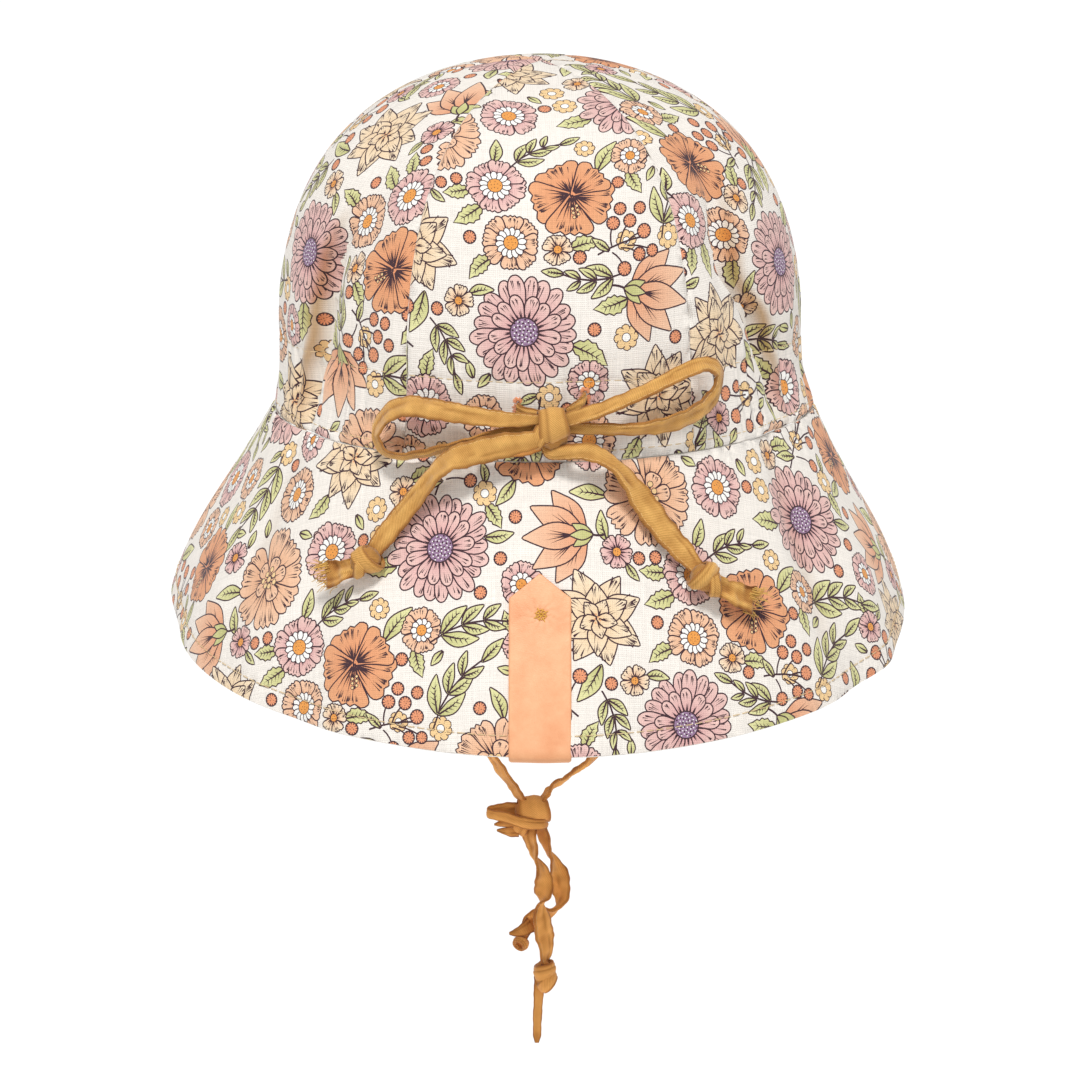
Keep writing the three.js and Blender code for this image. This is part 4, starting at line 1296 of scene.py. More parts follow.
# Folds drawn into the crown and bulges between them: height, azimuth, depth into the crown, half-width in
# degrees.
FOLDS = (
    (
        (0, -60, 1.2, 5),
        (13, -60, 3.0, 4.5),
        (24, -57, 4.0, 4.5),
        (47, -56, 4.0, 5),
        (64, -47, 3.0, 8),
        (80, -48, 2.2, 9),
        (96, -52, 1.0, 10),
        (CROWN_HEIGHT, -52, 0, 10),
    ),
    (
        (0, 62, 1.0, 6),
        (12, 62, 2.5, 6),
        (24, 60, 3.5, 6),
        (40, 54, 4.0, 7),
        (57, 48, 4.5, 8),
        (78, 52, 3.0, 8),
        (96, 54, 1.2, 10),
        (CROWN_HEIGHT, 54, 0, 10),
    ),
    ((0, 2, 0, 24), (40, 2, -1.5, 24), (70, 2, -2.0, 24), (96, 2, -1.0, 24), (CROWN_HEIGHT, 2, 0, 24)),
    ((0, -78, 0, 14), (40, -78, -1.5, 14), (80, -76, -1.5, 14), (CROWN_HEIGHT, -76, 0, 14)),
    (
        (0, 88, -2.4, 16),
        (14, 86, -0.8, 16),
        (40, 80, -1.5, 14),
        (80, 78, -1.5, 14),
        (CROWN_HEIGHT, 78, 0, 14),
    ),
)

# Creases: height, azimuth, depth and half-width in degrees. Each of the two deep folds has a steep tuck,
# with a half-width for each side, and smaller creases lie beside and between them.
CREASES = (
    (
        (0, -61, 1.0, 3.0, 0.8),
        (14, -60.5, 3.8, 3.2, 0.8),
        (30, -57.5, 5.4, 3.6, 0.9),
        (50, -56, 4.4, 3.6, 1.0),
        (74, -50, 0, 4, 2.5),
    ),
    (
        (0, 63, 0.8, 0.9, 2.6),
        (14, 62, 3.4, 0.9, 2.8),
        (30, 58, 4.8, 1.0, 3.0),
        (52, 49, 4.2, 1.2, 3.4),
        (84, 52, 0, 2.5, 4),
    ),
    ((0, -68, 0.4, 1.3), (18, -67, 2.0, 1.3), (38, -63, 0, 1.4)),
    ((0, -48, 0.3, 1.3), (20, -48, 1.6, 1.3), (48, -43, 0, 1.7)),
    ((0, 71, 0.3, 1.3), (16, 70, 1.9, 1.3), (38, 66, 0, 1.5)),
    ((0, 51, 0.3, 1.3), (18, 50, 1.5, 1.3), (42, 45, 0, 1.7)),
    ((0, 27, 0.2, 1.1), (14, 28, 1.1, 1.1), (34, 30, 0, 1.5)),
    ((0, -22, 0.2, 1.1), (12, -23, 1.1, 1.1), (32, -25, 0, 1.5)),
    ((0, 12, 0.2, 1.0), (16, 13, 1.0, 1.0), (30, 14, 0, 1.4)),
    ((0, -10, 0.2, 1.0), (14, -11, 0.9, 1.0), (28, -12, 0, 1.4)),
)
PAINTED_CREASE_SHADE = np.array((0.42, 0.6, 0.76, 0))  # painted shade: how much of each of the print's colours is taken away in a deep crease
CREASE_SIDE = (0.15, 0.4, 0.7, 0.95, 1.2, 1.5, 1.8, 2.2)  # rows of points beside a crease, in half-widths
CREASE_ROWS = (*(-off for off in CREASE_SIDE[::-1]), 0, *CREASE_SIDE)
DARK_DEPTH = 4.6  # the depth from which on a tuck's painted shade is at its darkest
TUCK_SIDE = 4.4  # degrees from a tuck's middle to the middle of its painted shade, on the side that shows
TUCK_HALF_SHADE = 2.0  # the half-width of that painted shade, in degrees


def dents(tables, azimuth, height):
    """How far the cloth lies inward at each azimuth and height."""
    depth = 0
    for rows in tables:
        off = round_head(azimuth - column_at(rows, height, 1))
        spread = np.where(off > 0, column_at(rows, height, -1), column_at(rows, height, 3))
        depth = depth + column_at(rows, height, 2) * np.exp(-((off / spread) ** 2))
    return depth


def round_head(azimuth):
    """The azimuth from -180 to 180."""
    return (azimuth + 180) % 360 - 180


def crown_point(azimuth, climb):
    """The crown's plain surface; climb runs from 0 at the seam to 1 at the top."""
    rise = 1 - (1 - climb) ** 2 * (1 + ROW_EVENNESS * climb)
    height = CROWN_HEIGHT * rise
    flare = SEAM_FLARE * np.maximum(0, 1 - height / FLARE_HEIGHT) ** 2
    reach = np.sqrt(1 - np.maximum(0, rise) ** SHOULDER) + flare
    depth = dents(FOLDS, azimuth, height)
    angle = np.radians(azimuth)
    x = (CROWN_HALF_WIDTH * reach - depth) * np.sin(angle)
    y = -(CROWN_HALF_LENGTH * reach - depth) * np.cos(angle)
    return np.stack([x, y, height + 0 * x], -1)


FLAP_SEAM_DROP = 0.3
FLAP_END = 118  # the azimuth of its front edges
HEM_HALF_WIDTH = 114.5
HEM_HALF_LENGTH = 125
DROP_AT_EAR = 63.5
DROP_AT_NAPE = 82.4
LOWEST_AZIMUTH = 2
BELLY = 0.075  # the flap's bulge between its seam and its hem, as a share of its spread
BELLY_POWER = 1.8  # puts the belly below the middle
CORNER_SPAN = 16  # degrees over which a front corner is rounded
CORNER_RISE = 0.42  # how far up it is cut there, as a share of the flap's drop


def flap_point(azimuth, fall):
    """The flap's plain surface; fall runs from 0 at the seam to 1 at the hem."""
    angle = np.radians(azimuth)
    flare = fall + BELLY * np.sin(math.pi * np.maximum(0, fall) ** BELLY_POWER)
    depth = dents(FOLDS, azimuth, 0 * azimuth) * (1 - fall) ** 2
    share = np.cos(np.radians(azimuth - LOWEST_AZIMUTH))
    drop = DROP_AT_EAR + (DROP_AT_NAPE - DROP_AT_EAR) * share
    seam_width = CROWN_HALF_WIDTH * (1 + SEAM_FLARE)
    seam_length = CROWN_HALF_LENGTH * (1 + SEAM_FLARE)
    width = seam_width + (HEM_HALF_WIDTH - seam_width) * flare - depth
    length = seam_length + (HEM_HALF_LENGTH - seam_length) * flare - depth
    return np.stack([width * np.sin(angle), -length * np.cos(angle), -FLAP_SEAM_DROP - drop * fall], -1)


def hem_share(azimuth):
    """How far down the flap ends, which rises at its two rounded corners."""
    into = np.maximum(0, (abs(azimuth) - FLAP_END + CORNER_SPAN) / CORNER_SPAN)
    return 1 - CORNER_RISE * (1 - np.sqrt(np.maximum(0, 1 - into**2)))


PEAK_END = 60.6  # the azimuth of its ends, from the face
PEAK_DEPTH = 54
PEAK_END_DEPTH = 3
PEAK_SLOPE = 0.42
PEAK_THICK = 2.2


def peak_reach(azimuth):
    """How far the peak stands out of the seam."""
    share = np.maximum(0, np.cos(np.radians(azimuth) * 90 / PEAK_END))
    return PEAK_END_DEPTH + (PEAK_DEPTH - PEAK_END_DEPTH) * share**0.9


def peak_point(azimuth, out):
    """The peak's plain surface; its azimuth is from the face, and out runs from 0 to 1."""
    angle = np.radians(azimuth)
    reach = out * peak_reach(azimuth)
    droop = PEAK_SLOPE * reach * (1 + 0.4 * np.sin(angle) ** 2)
    x = CROWN_HALF_WIDTH * (1 + SEAM_FLARE) * np.sin(angle) + reach * np.sin(angle) * 0.6
    y = CROWN_HALF_LENGTH * (1 + SEAM_FLARE) * np.cos(angle) + reach
    return np.stack([x, y, -2 * FLAP_SEAM_DROP - droop], -1)


def uneven(azimuth, pitch, seed):
    """A wavering wave round the head, from -1 to 1."""
    turn = np.radians(azimuth) * 360 / pitch
    return np.sin(turn + 1.3 * np.sin(turn * 0.37 + seed) + 0.8 * np.sin(turn * 0.71 + 2 * seed))


def bump_at(value, centre, spread):
    """A smooth bump of height 1."""
    return np.exp(-(((value - centre) / spread) ** 2))


def crown_relief(azimuth, height):
    """Small dents in the crown: creases, the casing's pleats, and the rows of stitches."""
    azimuth = round_head(azimuth)
    pulled = 0.45 + 0.8 * bump_at(azimuth, 3, 16)
    pulled = pulled + 0.6 * bump_at(azimuth, -58, 18) + 0.6 * bump_at(azimuth, 60, 18)
    casing = np.clip(height / 3, 0, 1) * np.clip((31 - height) / 9, 0, 1)
    pleats = np.maximum(0, uneven(azimuth + 0.04 * height, 5.2, 1)) ** 3 + 0.5 * uneven(azimuth, 13, 4)
    seam = bump_at(height, 0, 5) * (0.5 + 0.5 * uneven(azimuth, 3.1, 2)) * 0.35
    above = bump_at(height, 36, 16) * 0.45 * uneven(azimuth + 0.05 * height, 17, 6)
    stitches = 0.3 * bump_at(height, CASING_STITCH, 0.9) + 0.15 * bump_at(height, SEAM_STITCH, 0.8)
    return -dents(CREASES, azimuth, height) - 0.8 * pulled * casing * pleats - seam + above - stitches


def flap_relief(azimuth, fall):
    """The flap's gathers under the seam, its flutes and its two valleys."""
    gathers = np.clip(1 - fall / 0.3, 0, 1) ** 2 * (0.5 + 0.5 * uneven(azimuth, 3.4, 3)) * 0.6
    flutes = 1.5 * fall * uneven(azimuth + 4 * fall, 34, 2)
    valley = 3.2 * bump_at(azimuth, 57 - 6 * fall, 4.5) * np.sin(math.pi * np.clip(fall * 0.9 + 0.1, 0, 1))
    left = 1.6 * bump_at(azimuth, -60 + 4 * fall, 5) * np.sin(math.pi * np.clip(fall, 0, 1))
    return flutes - gathers - valley - left


def peak_relief(azimuth, out):
    """The peak's waves, and its rows of stitches."""
    rows = 0.12 * np.maximum(0, np.cos(out * math.tau * 6)) ** 8
    return 0.8 * out * uneven(azimuth, 44, 5) - rows


# A flat piece of cloth: its outline, and what lies over each place of it: a point, and a small lift along
# the cloth's normal. roll is how far its edges turn in, over how wide a strip. lines are places along its
# creases, and shade says how much painted shade darkens the print at each place, near creases and valleys.
Pattern = namedtuple("Pattern", "outline point lift thick roll strip lines shade")
NO_LINES = np.zeros(0, complex)
EDGE_STEP = 2.6


def evenly(points):
    """A closed outline through points of the plane, at an even step, with its sharp corners kept."""
    closed = np.append(points, points[0])
    made = []
    ways = np.diff(closed)
    corner = [k for k in range(len(points)) if abs(cmath.phase(ways[k] / ways[k - 1])) > 0.6]
    for a, b in zip(corner, corner[1:] + [corner[0] + len(points)]):
        piece = closed[np.arange(a, b + 1) % len(points)]
        run = np.concatenate([[0], np.cumsum(abs(np.diff(piece)))])
        at = np.linspace(0, run[-1], max(2, round(run[-1] / EDGE_STEP) + 1))[:-1]
        made.append(np.interp(at, run, piece.real) + 1j * np.interp(at, run, piece.imag))
    return np.concatenate(made)


def crown_pattern(start, end):
    """A crown panel between two azimuths, laid flat along its own middle line."""
    middle, span = (start + end) / 2, end - start
    climbs = np.linspace(0, TIP_CLIMB, 240)
    spine = crown_point(0 * climbs + middle, climbs)
    up = run_along(spine)
    sides = [start + span * k / 12 for k in range(13)]
    across = np.array([crown_point(0 * climbs + side, climbs) for side in sides])
    half = np.linalg.norm(np.diff(across, axis=0), axis=2).sum(axis=0) / 2
    kept = half - GAP / 2

    def place(flat_points):
        climb = np.interp(flat_points.imag, up, climbs)
        climb = climb + (flat_points.imag - np.clip(flat_points.imag, 0, up[-1])) / up[-1]
        azimuth = middle + flat_points.real / np.interp(flat_points.imag, up, half) * span / 2
        return azimuth, climb

    def azimuth_and_height(flat_points):
        azimuth, climb = place(flat_points)
        return azimuth, crown_point(azimuth, climb)[..., 2]

    def point(flat_points):
        return crown_point(*place(flat_points))

    def lift(flat_points):
        return crown_relief(*azimuth_and_height(flat_points))

    # Painted shade: the print is darkened on the side of each deep tuck that shows, more where the tuck is
    # deeper.
    def shade(flat_points):
        azimuth, height = azimuth_and_height(flat_points)
        painted_shade = 0
        for rows, side in ((CREASES[0], -1), (CREASES[1], 1)):
            off = round_head(azimuth - column_at(rows, height, 1) - TUCK_SIDE * side)
            depth = np.clip(column_at(rows, height, 2) / DARK_DEPTH, 0, 1)
            painted_shade = painted_shade + depth * bump_at(off, 0, TUCK_HALF_SHADE)
        return np.clip(painted_shade, 0, 1)

    right = kept + 1j * up
    outline = evenly(np.concatenate([right, -right.conj()[::-1]]))
    lines = []
    for rows in CREASES:
        heights = np.arange(2, rows[-1][0], 1.3)
        off = round_head(column_at(rows, heights, 1) - middle)
        along = np.interp(heights, spine[:, 2], up)
        for row in CREASE_ROWS:
            spread = column_at(rows, heights, -1 if row > 0 else 3)
            lines.append((off + row * spread) * 2 / span * np.interp(along, up, half) + 1j * along)
    lines = np.concatenate(lines)
    within, far = inside(outline, lines)
    lines = lines[within & (far > 2)]
    return Pattern(outline, point, lift, CLOTH, roll=1.0, strip=1.7, lines=lines, shade=shade)


HEM_STITCH = 6.4  # from the hem up to its row of stitches
FLAP_TURN = 0.4115  # how much of an azimuth is left when the flap lies flat
FLAP_RADIUS = 213  # of its upper edge when it lies flat


def flap_pattern():
    """The flap laid flat as a part of a ring."""
    azimuths = np.linspace(-FLAP_END, FLAP_END, 161)
    sheet = np.array([flap_point(azimuths, 0 * azimuths + fall) for fall in np.linspace(0, 1, 40)])
    slants = np.linalg.norm(np.diff(sheet, axis=0), axis=2).sum(axis=0)

    def place(flat_points):
        away = flat_points.real + 1j * (FLAP_RADIUS - flat_points.imag)
        azimuth = np.degrees(np.arctan2(away.real, away.imag)) / FLAP_TURN
        return azimuth, (abs(away) - FLAP_RADIUS) / np.interp(azimuth, azimuths, slants)

    def lay(azimuth, fall):
        turn = np.radians(azimuth * FLAP_TURN)
        radius = FLAP_RADIUS + fall * np.interp(azimuth, azimuths, slants)
        return radius * np.sin(turn) + 1j * (FLAP_RADIUS - radius * np.cos(turn))

    def point(flat_points):
        azimuth, fall = place(flat_points)
        return flap_point(azimuth, fall)

    def lift(flat_points):
        azimuth, fall = place(flat_points)
        hem = (hem_share(azimuth) - fall) * np.interp(azimuth, azimuths, slants)
        return flap_relief(azimuth, fall) - 0.22 * bump_at(hem, HEM_STITCH, 0.7) * (fall > 0)

    # Painted shade in the flap's two valleys.
    def shade(flat_points):
        azimuth, fall = place(flat_points)
        right = 0.3 * bump_at(azimuth, 57.5 - 6 * fall, 2.2)
        left = 0.2 * bump_at(azimuth, -60 + 4 * fall, 2.2)
        return (right + left) * np.sin(math.pi * np.clip(fall * 1.1, 0, 1))

    ends = np.linspace(0, hem_share(np.array([FLAP_END]))[0], 20)
    hem = lay(azimuths, hem_share(azimuths))
    right = lay(0 * ends + FLAP_END, ends[::-1])
    top = lay(azimuths[::-1], 0 * azimuths)
    left = lay(0 * ends - FLAP_END, ends)
    outline = evenly(np.concatenate([hem, right[1:], top[1:], left[1:-1]]))
    return Pattern(outline, point, lift, CLOTH, roll=0.45, strip=1.2, lines=NO_LINES, shade=shade)


def peak_pattern():
    """The peak laid flat along its seam."""
    azimuths = np.linspace(-PEAK_END, PEAK_END, 121)
    seam = peak_point(azimuths, 0 * azimuths)
    run = run_along(seam)
    run -= run[-1] / 2

    def place(flat_points):
        azimuth = np.interp(flat_points.real, run, azimuths)
        return azimuth, flat_points.imag / (peak_reach(azimuth) * math.hypot(1, PEAK_SLOPE))

    def point(flat_points):
        return peak_point(*place(flat_points))

    def lift(flat_points):
        return peak_relief(*place(flat_points))

    def shade(flat_points):
        return 0 * flat_points.real

    edge = run + 1j * peak_reach(azimuths) * math.hypot(1, PEAK_SLOPE)
    outline = evenly(np.concatenate([run + 0j, edge[::-1]]))
    return Pattern(outline, point, lift, PEAK_THICK, roll=0.7, strip=1.6, lines=NO_LINES, shade=shade)


PROBE = 0.2  # half the distance over which a slope is measured


def nearest_edge(outline, places):
    """Which edge of the outline is nearest to each place."""
    starts = outline[None, :]
    edges = np.roll(outline, -1)[None, :] - starts
    parts = np.array_split(places, len(places) // 1500 + 1)
    return np.concatenate([off_edges(part[:, None], starts, edges).argmin(axis=1) for part in parts])


def lift_over(pattern, places, nearest):
    """The cloth's small dents, with its edges turned in."""
    starts, ends = pattern.outline[nearest], np.roll(pattern.outline, -1)[nearest]
    far = off_edges(places, starts, ends - starts)
    return pattern.lift(places) - pattern.roll * np.clip(1 - far / pattern.strip, 0, 1) ** 2


def slopes(field, places):
    """How a field changes for each millimetre across and up the flat cloth."""
    across = (field(places + PROBE) - field(places - PROBE)) / (2 * PROBE)
    up = (field(places + PROBE * 1j) - field(places - PROBE * 1j)) / (2 * PROBE)
    return across, up


def draped(pattern, places):
    """Points of the outer face over flat places, its normals, and those of the plain surface under it."""
    nearest = nearest_edge(pattern.outline, places)
    across, up = slopes(pattern.point, places)
    plain = unit(np.cross(across, up))
    lift_across, lift_up = slopes(lambda at: lift_over(pattern, at, nearest)[:, None], places)
    normals = unit(np.cross(across + plain * lift_across, up + plain * lift_up))
    return pattern.point(places) + plain * lift_over(pattern, places, nearest)[:, None], normals, plain


def grid_inside(outline, pitch, least):
    """Staggered places all over the outline, none nearer its edge than least."""
    low = complex(outline.real.min(), outline.imag.min())
    rows = np.arange(low.imag, outline.imag.max(), pitch * 0.87)
    columns = np.arange(low.real, outline.real.max(), pitch)
    staggered = pitch / 2 * (np.arange(len(rows)) % 2)
    places = (columns[None, :] + staggered[:, None] + 1j * rows[:, None]).ravel()
    kept = []
    for part in np.array_split(places, 20):
        within, far = inside(outline, part)
        kept.append(part[within & (far > least)])
    return np.concatenate(kept)


def as_vectors(places):
    """Complex numbers as vectors."""
    return [Vector((z.real, z.imag)) for z in places.tolist()]


def directed_edges(triangles):
    """The three directed edges of each triangle, and the triangle of each."""
    edges = np.concatenate([triangles[:, [0, 1]], triangles[:, [1, 2]], triangles[:, [2, 0]]])
    return edges, np.tile(np.arange(len(triangles)), 3)


def facing(edges, total):
    """For each directed edge, the place in the list of the one that runs the other way, or -1."""
    keys = edges[:, 0] * total + edges[:, 1]
    order = np.argsort(keys)
    wanted = edges[:, 1] * total + edges[:, 0]
    found = order[np.clip(np.searchsorted(keys[order], wanted), 0, len(keys) - 1)]
    return np.where(keys[found] == wanted, found, -1)


def meshed(points, edges, faces):
    """Flat triangles through points, with the edges and faces asked for: (places, triangles, edges, what
    each edge comes from, which faces lie over each triangle)."""
    points = as_vectors(points)
    verts, new_edges, triangles, _, old_edges, owners = delaunay_2d_cdt(points, edges, faces, 0, 1e-4)
    places = np.array([complex(vert.x, vert.y) for vert in verts])
    return places, np.array(triangles), new_edges, old_edges, owners


def topmost(outlines):
    """The outlines laid over each other: places, triangles, and the last outline over each of them, or -1
    off the first outline."""
    faces, total = [], 0
    for outline in outlines:
        faces.append(list(range(total, total + len(outline))))
        total += len(outline)
    places, triangles, _, _, owners = meshed(np.concatenate(outlines), [], faces)
    triangle_of = np.repeat(np.arange(len(owners)), [len(owner) for owner in owners])
    owner_of = np.array([k for owner in owners for k in owner])
    middles = np.array([outline.mean() for outline in outlines])
    sizes = np.array([abs(outline - middle).max() for outline, middle in zip(outlines, middles)])
    # An outline too fine to close properly would cover everything, so it is left out.
    far = abs(places[triangles].mean(axis=1)[triangle_of] - middles[owner_of]) > sizes[owner_of]
    sound = ~np.isin(owner_of, owner_of[far & (owner_of > 0)])
    top = np.full(len(triangles), -1)
    np.maximum.at(top, triangle_of[sound], owner_of[sound])
    covered = np.zeros(len(triangles), bool)
    covered[triangle_of[owner_of == 0]] = True
    return places, triangles, np.where(covered, top, -1)


def straightened(edges, left, right, places):
    """Directed edges between two areas, with those that run straight on into each other joined."""
    onward, back = np.zeros(len(places), int), np.zeros(len(places), int)
    onward[edges[:, 0]] = back[edges[:, 1]] = np.arange(len(edges))
    way = places[edges[:, 1]] - places[edges[:, 0]]
    way = way / abs(way)
    bend = way[onward] * way[back].conj()
    single = (np.bincount(edges.ravel(), minlength=len(places)) == 2) & (right[onward] >= 0)
    same = (left[onward] == left[back]) & (right[onward] == right[back])
    passed = single & same & (bend.real > 0) & (abs(bend.imag) < 0.01)
    ends = edges[:, 1]
    while passed[ends].any():
        ends = np.where(passed[ends], edges[onward[ends], 1], ends)
    kept = ~passed[edges[:, 0]]
    return np.stack([edges[kept, 0], ends[kept]], 1), left[kept], right[kept]


def seen_edges(outlines):
    """The edges that show where outlines lie over each other: (places, edges, what is left and right)."""
    places, triangles, top = topmost(outlines)
    edges, triangle_of = directed_edges(triangles)
    other = facing(edges, len(places))
    left = top[triangle_of]
    right = np.where(other >= 0, left[other], -1)
    shows = left > right
    kept, left, right = straightened(edges[shows], left[shows], right[shows], places)
    used, kept = np.unique(kept, return_inverse=True)
    return places[used], kept.reshape(-1, 2), left, right


UNKNOWN = -2  # an area that has no number yet
OUTSIDE = -1


def triangulated(outlines, loose):
    """Flat triangles inside the first outline: their places, corners, and the topmost outline over each.
    Only the edges that show are kept; loose places are added between them."""
    start, kept, left, right = seen_edges(outlines)
    points = np.concatenate([start, loose])
    places, triangles, new_edges, old_edges, _ = meshed(points, kept.tolist(), [])
    edges, triangle_of = directed_edges(triangles)
    other = facing(edges, len(places))
    label = np.full(len(triangles), UNKNOWN)
    crossing = np.ones(len(edges), bool)
    number_of = {(a, b): k for k, (a, b) in enumerate(edges.tolist())}
    for (a, b), old in zip(new_edges, old_edges):
        if not old:
            continue
        was = kept[old[0]]
        way = (places[b] - places[a]) * (start[was[1]] - start[was[0]]).conjugate()
        sides = (left[old[0]], right[old[0]])
        for edge, side in zip(((a, b), (b, a)), sides if way.real > 0 else sides[::-1]):
            if edge in number_of:
                crossing[number_of[edge]] = False
                label[triangle_of[number_of[edge]]] = side
    open_edges = np.flatnonzero(crossing & (other >= 0))
    near, far = triangle_of[open_edges], triangle_of[other[open_edges]]
    grow = (label[near] == UNKNOWN) & (label[far] > UNKNOWN)
    while grow.any():
        label[near[grow]] = label[far[grow]]
        grow = (label[near] == UNKNOWN) & (label[far] > UNKNOWN)
    triangles, label = triangles[label > OUTSIDE], label[label > OUTSIDE]
    used, triangles = np.unique(triangles, return_inverse=True)
    return places[used], triangles.reshape(-1, 3), label


def rim_of(triangles):
    """The boundary of a sheet of triangles as one ring of corners, in their turning sense."""
    seen = {}
    for a, b, c in triangles.tolist():
        for edge in ((a, b), (b, c), (c, a)):
            seen[edge] = True
    following = {a: b for a, b in seen if (b, a) not in seen}
    start = next(iter(following))
    ring = [start]
    while following[ring[-1]] != start:
        ring.append(following[ring[-1]])
    return np.array(ring)


SHARP = 0.14  # how quickly the cloth's dents turn where its points lie closer together
PITCH = 3.0  # from point to point of the cloth's mesh
FINE_PITCH = 0.4 * PITCH
LINING_PITCH = 6.0
RIM_OUT = 0.25  # how far the rounded rim stands out between the two faces


def apart_from(places, lines, least):
    """The places with none of the lines' places about as near as least."""
    cells = [np.round(lines / least + step).tolist() for step in (0, 1, -1, 1j, -1j)]
    taken = set(sum(cells, []))
    return places[[cell not in taken for cell in np.round(places / least).tolist()]]


def mesh_places(pattern):
    """Where the cloth has points inside its outline, closer together where its dents turn sharply."""
    rows = [grown(pattern.outline, -pattern.strip * share) for share in (0.45, 1)]
    fine = grid_inside(pattern.outline, FINE_PITCH, least=2.0)
    sharp = abs(pattern.lift(fine + 1) + pattern.lift(fine - 1) - 2 * pattern.lift(fine)) > SHARP
    spread = np.concatenate([grid_inside(pattern.outline, PITCH, least=2.4), fine[sharp]])
    return np.concatenate([*rows, apart_from(spread, pattern.lines, 0.8), pattern.lines])


def belt(upper, lower):
    """Triangles between two closed rows of points."""
    next_upper, next_lower = np.roll(upper, -1), np.roll(lower, -1)
    halves = (next_upper, upper, lower), (next_upper, lower, next_lower)
    return np.concatenate([np.stack(half, 1) for half in halves])


def print_colours(art, owner, places):
    """The print's colour at each face corner. owner is the number of the patch on each face."""
    near = np.array([GROUND] + [patch.near for patch in art])
    far = np.array([GROUND] + [patch.far for patch in art])
    origin = np.array([0j] + [patch.origin for patch in art])
    reach = np.array([1.0] + [patch.reach for patch in art])
    owner = np.repeat(owner, 3)
    share = np.clip(abs(places - origin[owner]) / reach[owner], 0, 1)[:, None] ** 0.8
    return near[owner] * (1 - share) + far[owner] * share


def cloth_piece(name, pattern, turn, shift):
    """One closed piece of cloth: a printed outer face, a plain inner face and a rounded rim between them."""
    art = print_over(pattern.outline, turn, shift)
    outlines = [pattern.outline] + [patch.outline for patch in art]
    outer, outer_faces, top = triangulated(outlines, mesh_places(pattern))
    rim = rim_of(outer_faces)
    ring = outer[rim]
    lining, lining_faces, _ = triangulated([ring], grid_inside(pattern.outline, LINING_PITCH, least=2.5))

    outer_points, outer_normals, _ = draped(pattern, outer)
    lining_points, _, lining_normals = draped(pattern, lining)
    lining_points = lining_points - lining_normals * pattern.thick
    away = grown(ring, 0.5) - ring
    sideways = unit(pattern.point(ring + away) - pattern.point(ring))
    middle = (outer_points[rim] + lining_points[: len(rim)]) / 2 + sideways * RIM_OUT
    points = np.concatenate([outer_points, middle, lining_points])
    normals = np.concatenate([outer_normals, sideways, -lining_normals])

    total = len(outer) + len(rim)
    middle_row = np.arange(len(outer), total)
    shown = np.concatenate([outer_faces, belt(rim, middle_row)])
    hidden = np.concatenate([belt(middle_row, total + np.arange(len(rim))), lining_faces[:, ::-1] + total])
    made = new_object(name, points, np.concatenate([shown, hidden]), [PRINTED, LINING])
    mesh = made.data
    mesh.polygons.foreach_set("material_index", np.repeat([0, 1], [len(shown), len(hidden)]))

    beside = np.ptp(pattern.outline.real) + 8
    flat_points = np.concatenate([outer, ring + away * 1.6, lining + beside])
    index = corner_points(mesh)
    uv = flat_points[index]
    give_uv(mesh, "cloth", np.stack([uv.real, uv.imag], 1))

    owner = np.zeros(len(shown) + len(hidden), int)
    owner[: len(top)] = top
    painted_shade = np.zeros(len(flat_points))
    painted_shade[: len(outer)] = pattern.shade(outer)
    # painted shade: the print is darkened where its creases and valleys would lie in shadow
    colours = print_colours(art, owner, uv) * (1 - painted_shade[index][:, None] * PAINTED_CREASE_SHADE)
    layer = mesh.color_attributes.new("print", "FLOAT_COLOR", "CORNER")
    layer.data.foreach_set("color", colours.astype(np.float32).ravel())
    mesh.normals_split_custom_set_from_vertices(normals.tolist())
    return made


CROWN_PANELS = (
    ("crown_back", -30.5, 35, 20, 15 + 40j),
    ("crown_back_right", 35, 91, 75, 60 + 5j),
    ("crown_front_right", 91, 148, 130, 20 + 90j),
    ("crown_front", 148, 212, 200, 70 + 70j),
    ("crown_front_left", 212, 270, 255, 5 + 20j),
    ("crown_back_left", 270, 329.5, 310, 95 + 30j),
)
patterns = {panel[0]: crown_pattern(panel[1], panel[2]) for panel in CROWN_PANELS}
patterns["neck_flap"] = flap_pattern()
patterns["front_peak"] = peak_pattern()
prints = {panel[0]: panel[3:] for panel in CROWN_PANELS}
prints["neck_flap"] = (8, 46 + 50j)
prints["front_peak"] = (160, 44 + 12j)
cloth = {name: cloth_piece(name + "_cloth", patterns[name], *prints[name]) for name in patterns}

# ---- leather tag ----

TAG_WIDTH = 18.4
TAG_TIP_LENGTH = 7.5
TAG_LEATHER = 1.3
TAG_CLEARANCE = 0.35
TAG_TOP = 0.62  # how far up the flap its tip lies, as a share, and its other end inside
TAG_INNER_TOP = 0.22
TAG_STAR = (0.3, 12.4)  # the star of stitches: beside the middle and down from the tip
TAG_FLAP_CLOTH = 1.8
TAG_ROWS = 100  # down the tag's face
TAG_TURN_ROWS = 13  # round the hem
TAG_INNER_ROWS = 16  # up the inside
TAG_COLUMNS = 61
TAG_FOLD_SHADE_ROW = TAG_ROWS + 2  # where the painted shade round the fold is darkest


def flap_frame(x, fall):
    """The flap's outer face beside the middle of the tag, with the way it looks there."""

    def at(x, fall):
        width = flap_point(np.full_like(x, 90.0), fall)[..., 0]
        return flap_point(np.degrees(np.arcsin(x / width)), fall)

    point = at(x, fall)
    across = at(x + PROBE, fall) - at(x - PROBE, fall)
    down = at(x, fall + 0.002) - at(x, fall - 0.002)
    return point, unit(np.cross(down, across))


